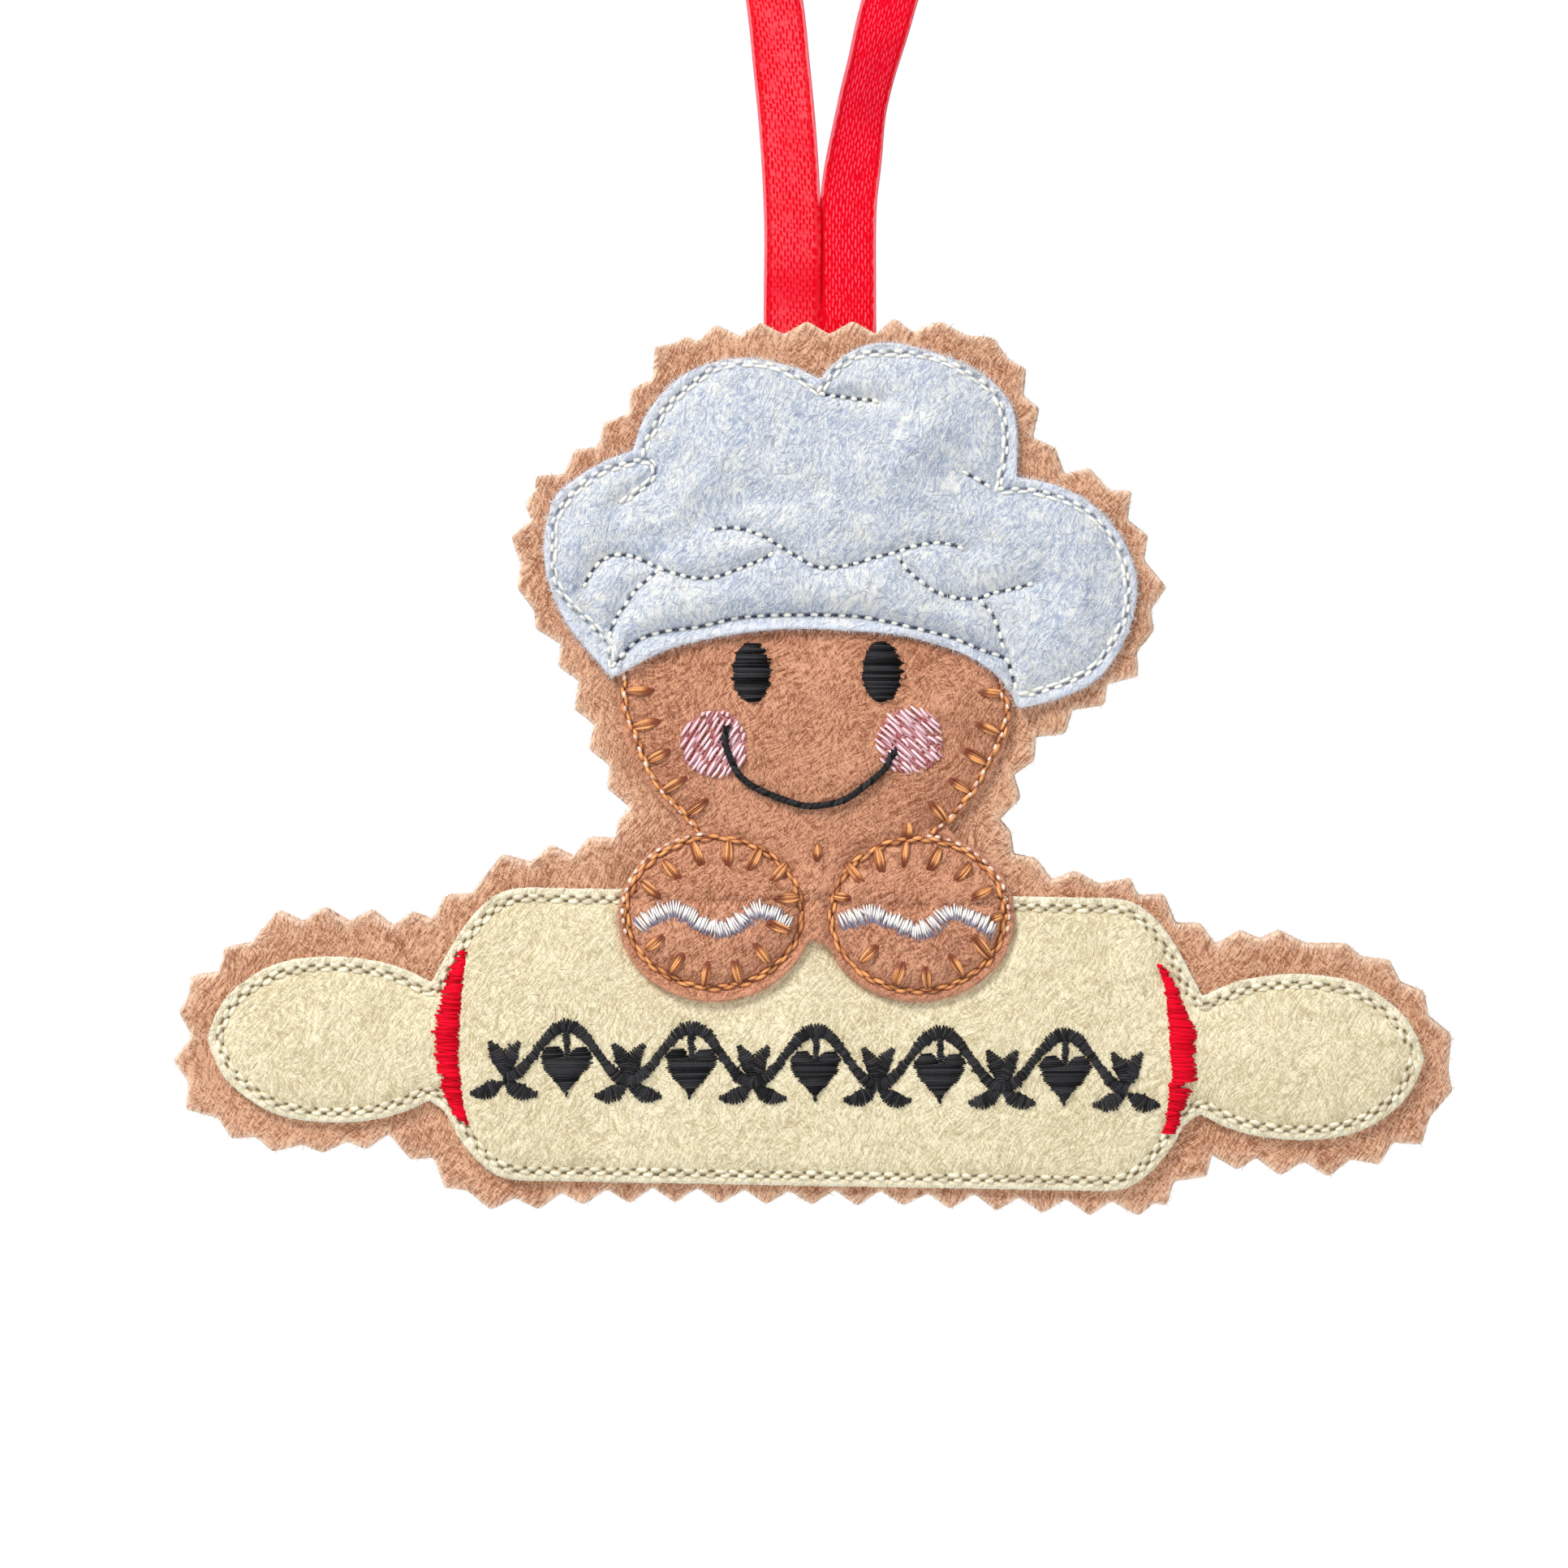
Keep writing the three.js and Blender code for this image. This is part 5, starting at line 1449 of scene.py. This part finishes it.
smile_run = curve(
    [(-10.4, -106.8), (-10.6, -108.1), (-10.3, -109.3), (-9.2, -111.7), (-7.8, -113),
     (-6.1, -113.9), (-3.2, -115), (-1, -115.4), (2.4, -114.8), (5, -113.1), (7, -111.4),
     (7.9, -109.7)],
    0.1,
)
smile_thread = Threads()
plies = twisted(
    smile_run, bread_height, strands=3, twist_radius=0.17, lay_length=1.8, raised_by=0.42
)
tones = chance.uniform(0.15, 0.55, (3, 1))
waves = np.arange(plies.shape[1]) * 0.7 + chance.uniform(0, 6, (3, 1))
smile_thread.lay(plies, radii=0.24, tones=tones + 0.2 * np.sin(waves))
for end, turns in ((smile_run[0], 3), (smile_run[-1] + (0.2, 0.1), 6)):
    angle = np.arange(turns) * math.pi / turns + chance.uniform(0, 0.4, turns)
    reach = chance.uniform(0.45, 0.8, turns) * (0.7 if turns == 3 else 1)
    arms = np.stack([np.cos(angle), np.sin(angle)], 1) * reach[:, None]
    laid, radii = bar(end - arms, end + arms, bread_height, 0.62, chance, radius=0.17, rings=7)
    smile_thread.lay(laid, radii, satin_tone(chance, radii, 0.1, 0.6))
smile_piece = smile_thread.laid("smile_thread", black_paint, "black_thread")
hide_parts("smile")


# The icing on the paws. A wavy column of white satin stitch, its threads nearly upright, runs
# across each paw from seam to seam. A lower layer, painted darker as shade, shows along its
# lower side, and the lower part of each thread is painted in a lavender shade.
icing_runs = {
    "left": [
        (-20.2, -128.7), (-19.2, -127.9), (-18, -127.3), (-16.3, -126.8), (-14.8, -127.3),
        (-13.3, -128.2), (-11.6, -128.9), (-9.8, -128.5), (-8, -127.4), (-6.6, -126.9),
        (-5.1, -127.4), (-3.9, -128.1), (-3.3, -128.8),
    ],
    "right": [
        (2.2, -128.2), (3.7, -127.7), (5.2, -127.2), (6.9, -127.6), (8.7, -128.4), (10.1, -129),
        (11.3, -129), (12.5, -128.4), (13.7, -127.4), (14.8, -127.1), (16.3, -127.5),
        (17.7, -128.2), (19.3, -129),
    ],
}
white_paint = thread(
    "white thread", (255, 252, 248), (126, 116, 140), roughness=0.42, sheen=0.05
)
icing_width, steepest = 1.7, 0.9
along_icing = np.linspace(0, 1, 9)
for name, places in icing_runs.items():
    icing_thread = Threads()
    wave = curve(places, 0.05)
    for pitch, radius, arch, head, foot, low, high in (
        (0.3, 0.13, 0.14, -0.3, 0.45, 0.0, 0.5),
        (0.24, 0.12, 0.36, 0.03, 0.1, 0.7, 1.15),
    ):
        stops = np.arange(wave[0, 0] + 0.1, wave[-1, 0], pitch)
        level = np.interp(stops, wave[:, 0], wave[:, 1])
        slope = np.interp(stops, wave[:, 0], np.gradient(wave[:, 1], wave[:, 0]))
        slope = np.clip(slope, -steepest, steepest)
        length = np.sqrt(1 + slope**2)
        tall = icing_width / 2 / length
        ragged = chance.normal(0, 0.2, (2, len(stops)))
        lean = 0.08 + icing_width / 2 * slope / length
        lean = lean + chance.normal(0, 0.03, len(stops))
        starts = np.stack([stops - lean, level + tall + head + ragged[0]], 1)
        ends = np.stack([stops + lean * 1.1, level - tall - foot - ragged[1]], 1)
        laid, radii = bar(starts, ends, bread_height, arch, chance, radius, dip=0.22)
        # Painted shade: each thread fades to the lavender dark tone over its lower part, from
        # higher up on the crests.
        shaded = (0.56 - 0.12 * smooth(level, -128.6, -127))[:, None]
        painted_end_shade = 1 - 0.9 * smooth(along_icing, shaded, shaded + 0.4)
        icing_thread.lay(laid, radii, satin_tone(chance, radii, low, high) * painted_end_shade)
    icing = icing_thread.laid("icing_thread_" + name, white_paint, "white_thread")
    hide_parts("icing_" + name)


# The hat. Pale blue felt, mottled with cream, is sewn down over the head round its outline and
# along its folds, and it puffs up between them. The folds pull in deeper, and shadow is painted
# into their needle holes, darker than along the outline.
hat_edge = eased(cut_edge("hat_felt", corner_turn=0.6), 1)
hat_marks = Marks([closed_up(hat_edge)])
hat_outline = [
    [
        (-23.1, -100), (-23.7, -96.9), (-28.3, -92.3), (-29.5, -88.9), (-29.5, -85.5),
        (-29.2, -83.2), (-27.1, -80.5), (-24.2, -78.3), (-21.1, -77.4), (-19.3, -77.1),
        (-18.5, -77.7), (-18.8, -79.1), (-20.5, -80.5), (-22.2, -81.9),
    ],
    [
        (-19.5, -76.6), (-19.3, -75.1), (-18.5, -73.7), (-17.1, -71.3), (-14.8, -69.1),
        (-11.9, -67), (-10, -66.5), (-7.6, -66.3), (-4.7, -66.8), (-2.2, -68.2), (-0.1, -69.6),
    ],
    [
        (-0.1, -69.6), (1.3, -67.7), (2.7, -66.3), (4.8, -65.3), (8.5, -65.2), (11.9, -65.5),
        (15.1, -66.7), (17.9, -68.5), (19.7, -70.4), (20.4, -73.1), (20.5, -75.7), (20, -78.6),
        (19.6, -80.5),
    ],
    [
        (19.6, -80.5), (21.5, -80.4), (23.4, -80.5), (27.2, -81.5), (30, -83.2), (32.3, -85.8),
        (33.6, -88.3), (34, -91.2), (33.8, -94), (32.3, -97.2), (30, -100.1), (26.6, -101.8),
        (22, -103.2),
    ],
]
hat_folds = [
    [(-0.1, -69.6), (3.3, -70.1), (7, -70.5)],
    [(15.9, -78.3), (17.7, -79.3), (19.5, -80.5)],
    [
        (-12.2, -84.8), (-9.6, -84.6), (-6.8, -85.3), (-4.7, -86.5), (-2.4, -87.9), (-0.1, -89),
        (3.3, -88.7), (5.6, -88), (8.2, -87.3), (10.5, -86.6), (12.8, -86.2), (14.8, -86.5),
        (16.4, -87.2),
    ],
    [
        (-26.3, -91.1), (-25.6, -89.7), (-24.5, -88.3), (-22.8, -87.5), (-20.5, -87.8),
        (-18.2, -88.9), (-15.9, -89.7), (-13.3, -90.2), (-11.1, -89.9), (-8.5, -88.9),
        (-6.1, -87.9), (-4.7, -86.8),
    ],
    [
        (-17.9, -89.2), (-19.3, -90.4), (-20.5, -91.5), (-21.7, -93.2), (-22.5, -94.3),
        (-23.2, -95.8), (-23.5, -97.2),
    ],
    [
        (8.5, -87.6), (9.6, -89.2), (11.1, -90.5), (13, -91.8), (15.4, -92.4), (17.4, -92.4),
        (19.1, -91.8), (21.7, -91.2), (24.3, -90.5),
    ],
    [(17.6, -92.6), (18.8, -93.8), (19.5, -95.2), (20.1, -97.2), (20.4, -98.8)],
]
hat_outline = [curve(run, 0.1) for run in hat_outline]
hat_folds = [curve(run, 0.1) for run in hat_folds]
hat_seams = [*hat_outline, brim, *hat_folds]
chance = np.random.default_rng(61)
hat_pressed = Marks(hat_seams)
fold_marks = Marks([*hat_folds, brim])
outer_rows = [Row(chance, run, pitch=1.66, share=0.46, aside=-0.24) for run in hat_outline]
inner_rows = [
    Row(chance, run, pitch=1.66, share=0.84, aside=0.2, phase=0.3) for run in hat_outline
]
fold_rows = [Row(chance, run, pitch=1.3, share=0.42) for run in hat_folds]
fold_rows.append(Row(chance, brim, pitch=1.5, share=0.46))
rim_holes = Holes(np.vstack([row.gaps(inset=0.2) for row in outer_rows]), radius=0.19)
fold_holes = Holes(np.vstack([row.gaps(inset=0.16) for row in fold_rows]), radius=0.2)


# Needle holes: the felt sinks in them, with painted shadow, full along the folds and the brim and
# lighter along the outline.
def hat_pricked(at):
    return np.maximum(0.55 * rim_holes.dark(at), fold_holes.dark(at))


def hat_rest(at):
    return resting(at, bread_height, bread_edge, bread_marks)


def hat_height(at):
    rim = hat_marks.gap(at)
    gap = hat_pressed.gap(at)
    thick = puffed(gap, rim, puff=1.7)
    sunk = 0.2 * np.exp(-((fold_marks.gap(at) / 0.7) ** 2))
    waves = 0.12 * uneven(at, size=7, seed=62) * smooth(gap, 0.5, 3)
    return hat_rest(at) + thick - sunk + waves - 0.34 * hat_pricked(at)


hat = felt_solid(
    "hat",
    hat_edge,
    seamed_filling(hat_edge, hat_marks, hat_seams, coarse=0.5, clear=1.0),
    hat_height,
    lambda at: hat_rest(at) + 0.05,
    felt(
        "blue felt", light=(228, 232, 236), dark=(168, 179, 198), hole_shade=(62, 74, 106),
        rim=(228, 232, 246), contrast=0.9, lean=0.5, mottle=((243, 242, 231), (150, 164, 192)),
    ),
    {"fuzz_and_edge_glow": lambda at: 1 - smooth(hat_marks.gap(at), 0, 1.3), "hole_shade": hat_pricked},
    bulge=0.14,
    seed=63,
)
laid_sheet(hat, hat_edge, "hat_felt")
hat_thread = Threads()
rim_rows = [*outer_rows, *inner_rows]
seam_threads(hat_thread, chance, rim_rows, hat_height, radius=0.2, low=0.6, high=1.1)
seam_threads(hat_thread, chance, fold_rows, hat_height, radius=0.22, low=0.75, high=1.15)
hat_thread.laid(
    "hat_seam_thread",
    thread("hat thread", (255, 253, 242), (170, 174, 186)),
    "white_thread",
)


# The back's stitches. The last seam, which joins the two felts, shows on the back as a single
# row of tan running stitches a little inside the pinked edge.
back_seam = closed_up(eased(seam_inset(pinked, pinked_marks, inset=3.4), times=300))
back_thread = Threads()
back_row = Row(chance, back_seam, pitch=2.4, share=0.82)
laid, radii = back_row.threads(chance, lambda at: -back_height(at), radius=0.2, lift=0.2)
laid[..., 1] *= -1
back_thread.lay(laid, radii, stitch_tone(chance, radii))
back_thread.laid(
    "back_seam_thread",
    thread("tan thread", (240, 214, 186), (168, 130, 100)),
    "tan_felt",
)


# The loose fibres. Each felt sheds a few from its cut edge, and others lie across its face. They
# are ends of its own fibre, still held in it at one end or both.
def fuzz(name, edge, height, lower, light, dark, slot, edge_count, size, face_count=0, skip=None):
    """The fibres of one felt piece, from its edge and over its face."""
    fibres = Threads(sides=3)
    low, high = lower(edge) + 0.1, height(edge) + 0.12
    fibres.lay(*edge_fibres(chance, edge, edge_count, low, high, size))
    if face_count:
        fibres.lay(*face_fibres(chance, edge, face_count, height, size * 2, skip))
    fibres.laid(name, fibre(name.replace("_", " "), light, dark), slot)


chance = np.random.default_rng(71)
fuzz(
    "tan_fibres", pinked, front_height, lining, light=(255, 226, 200), dark=(176, 124, 92),
    slot="tan_felt", edge_count=5600, size=0.5, face_count=4200,
    skip=lambda at: within(at, pin_edge) | under_bread(at) | within(at, hat_edge),
)
fuzz(
    "back_fibres", pinked + back_shift, lambda at: -lining(at - back_shift), back_height,
    light=(226, 206, 190), dark=(176, 136, 110), slot="tan_felt", edge_count=2600, size=0.5,
)
fuzz(
    "cream_fibres", pin_edge, pin_height, front_height, light=(255, 252, 234),
    dark=(216, 202, 168), slot="cream_felt", edge_count=5600, size=0.55, face_count=4600,
    skip=under_bread,
)
fuzz(
    "gingerbread_fibres", bread_edge, bread_height, bread_rest, light=(244, 196, 162),
    dark=(140, 88, 62), slot="gingerbread_felt", edge_count=3600, size=0.45, face_count=3000,
    skip=lambda at: within(at, hat_edge),
)
fuzz(
    "hat_fibres", hat_edge, hat_height, hat_rest, light=(255, 255, 250), dark=(188, 196, 216),
    slot="blue_felt", edge_count=6400, size=0.7, face_count=4600,
)
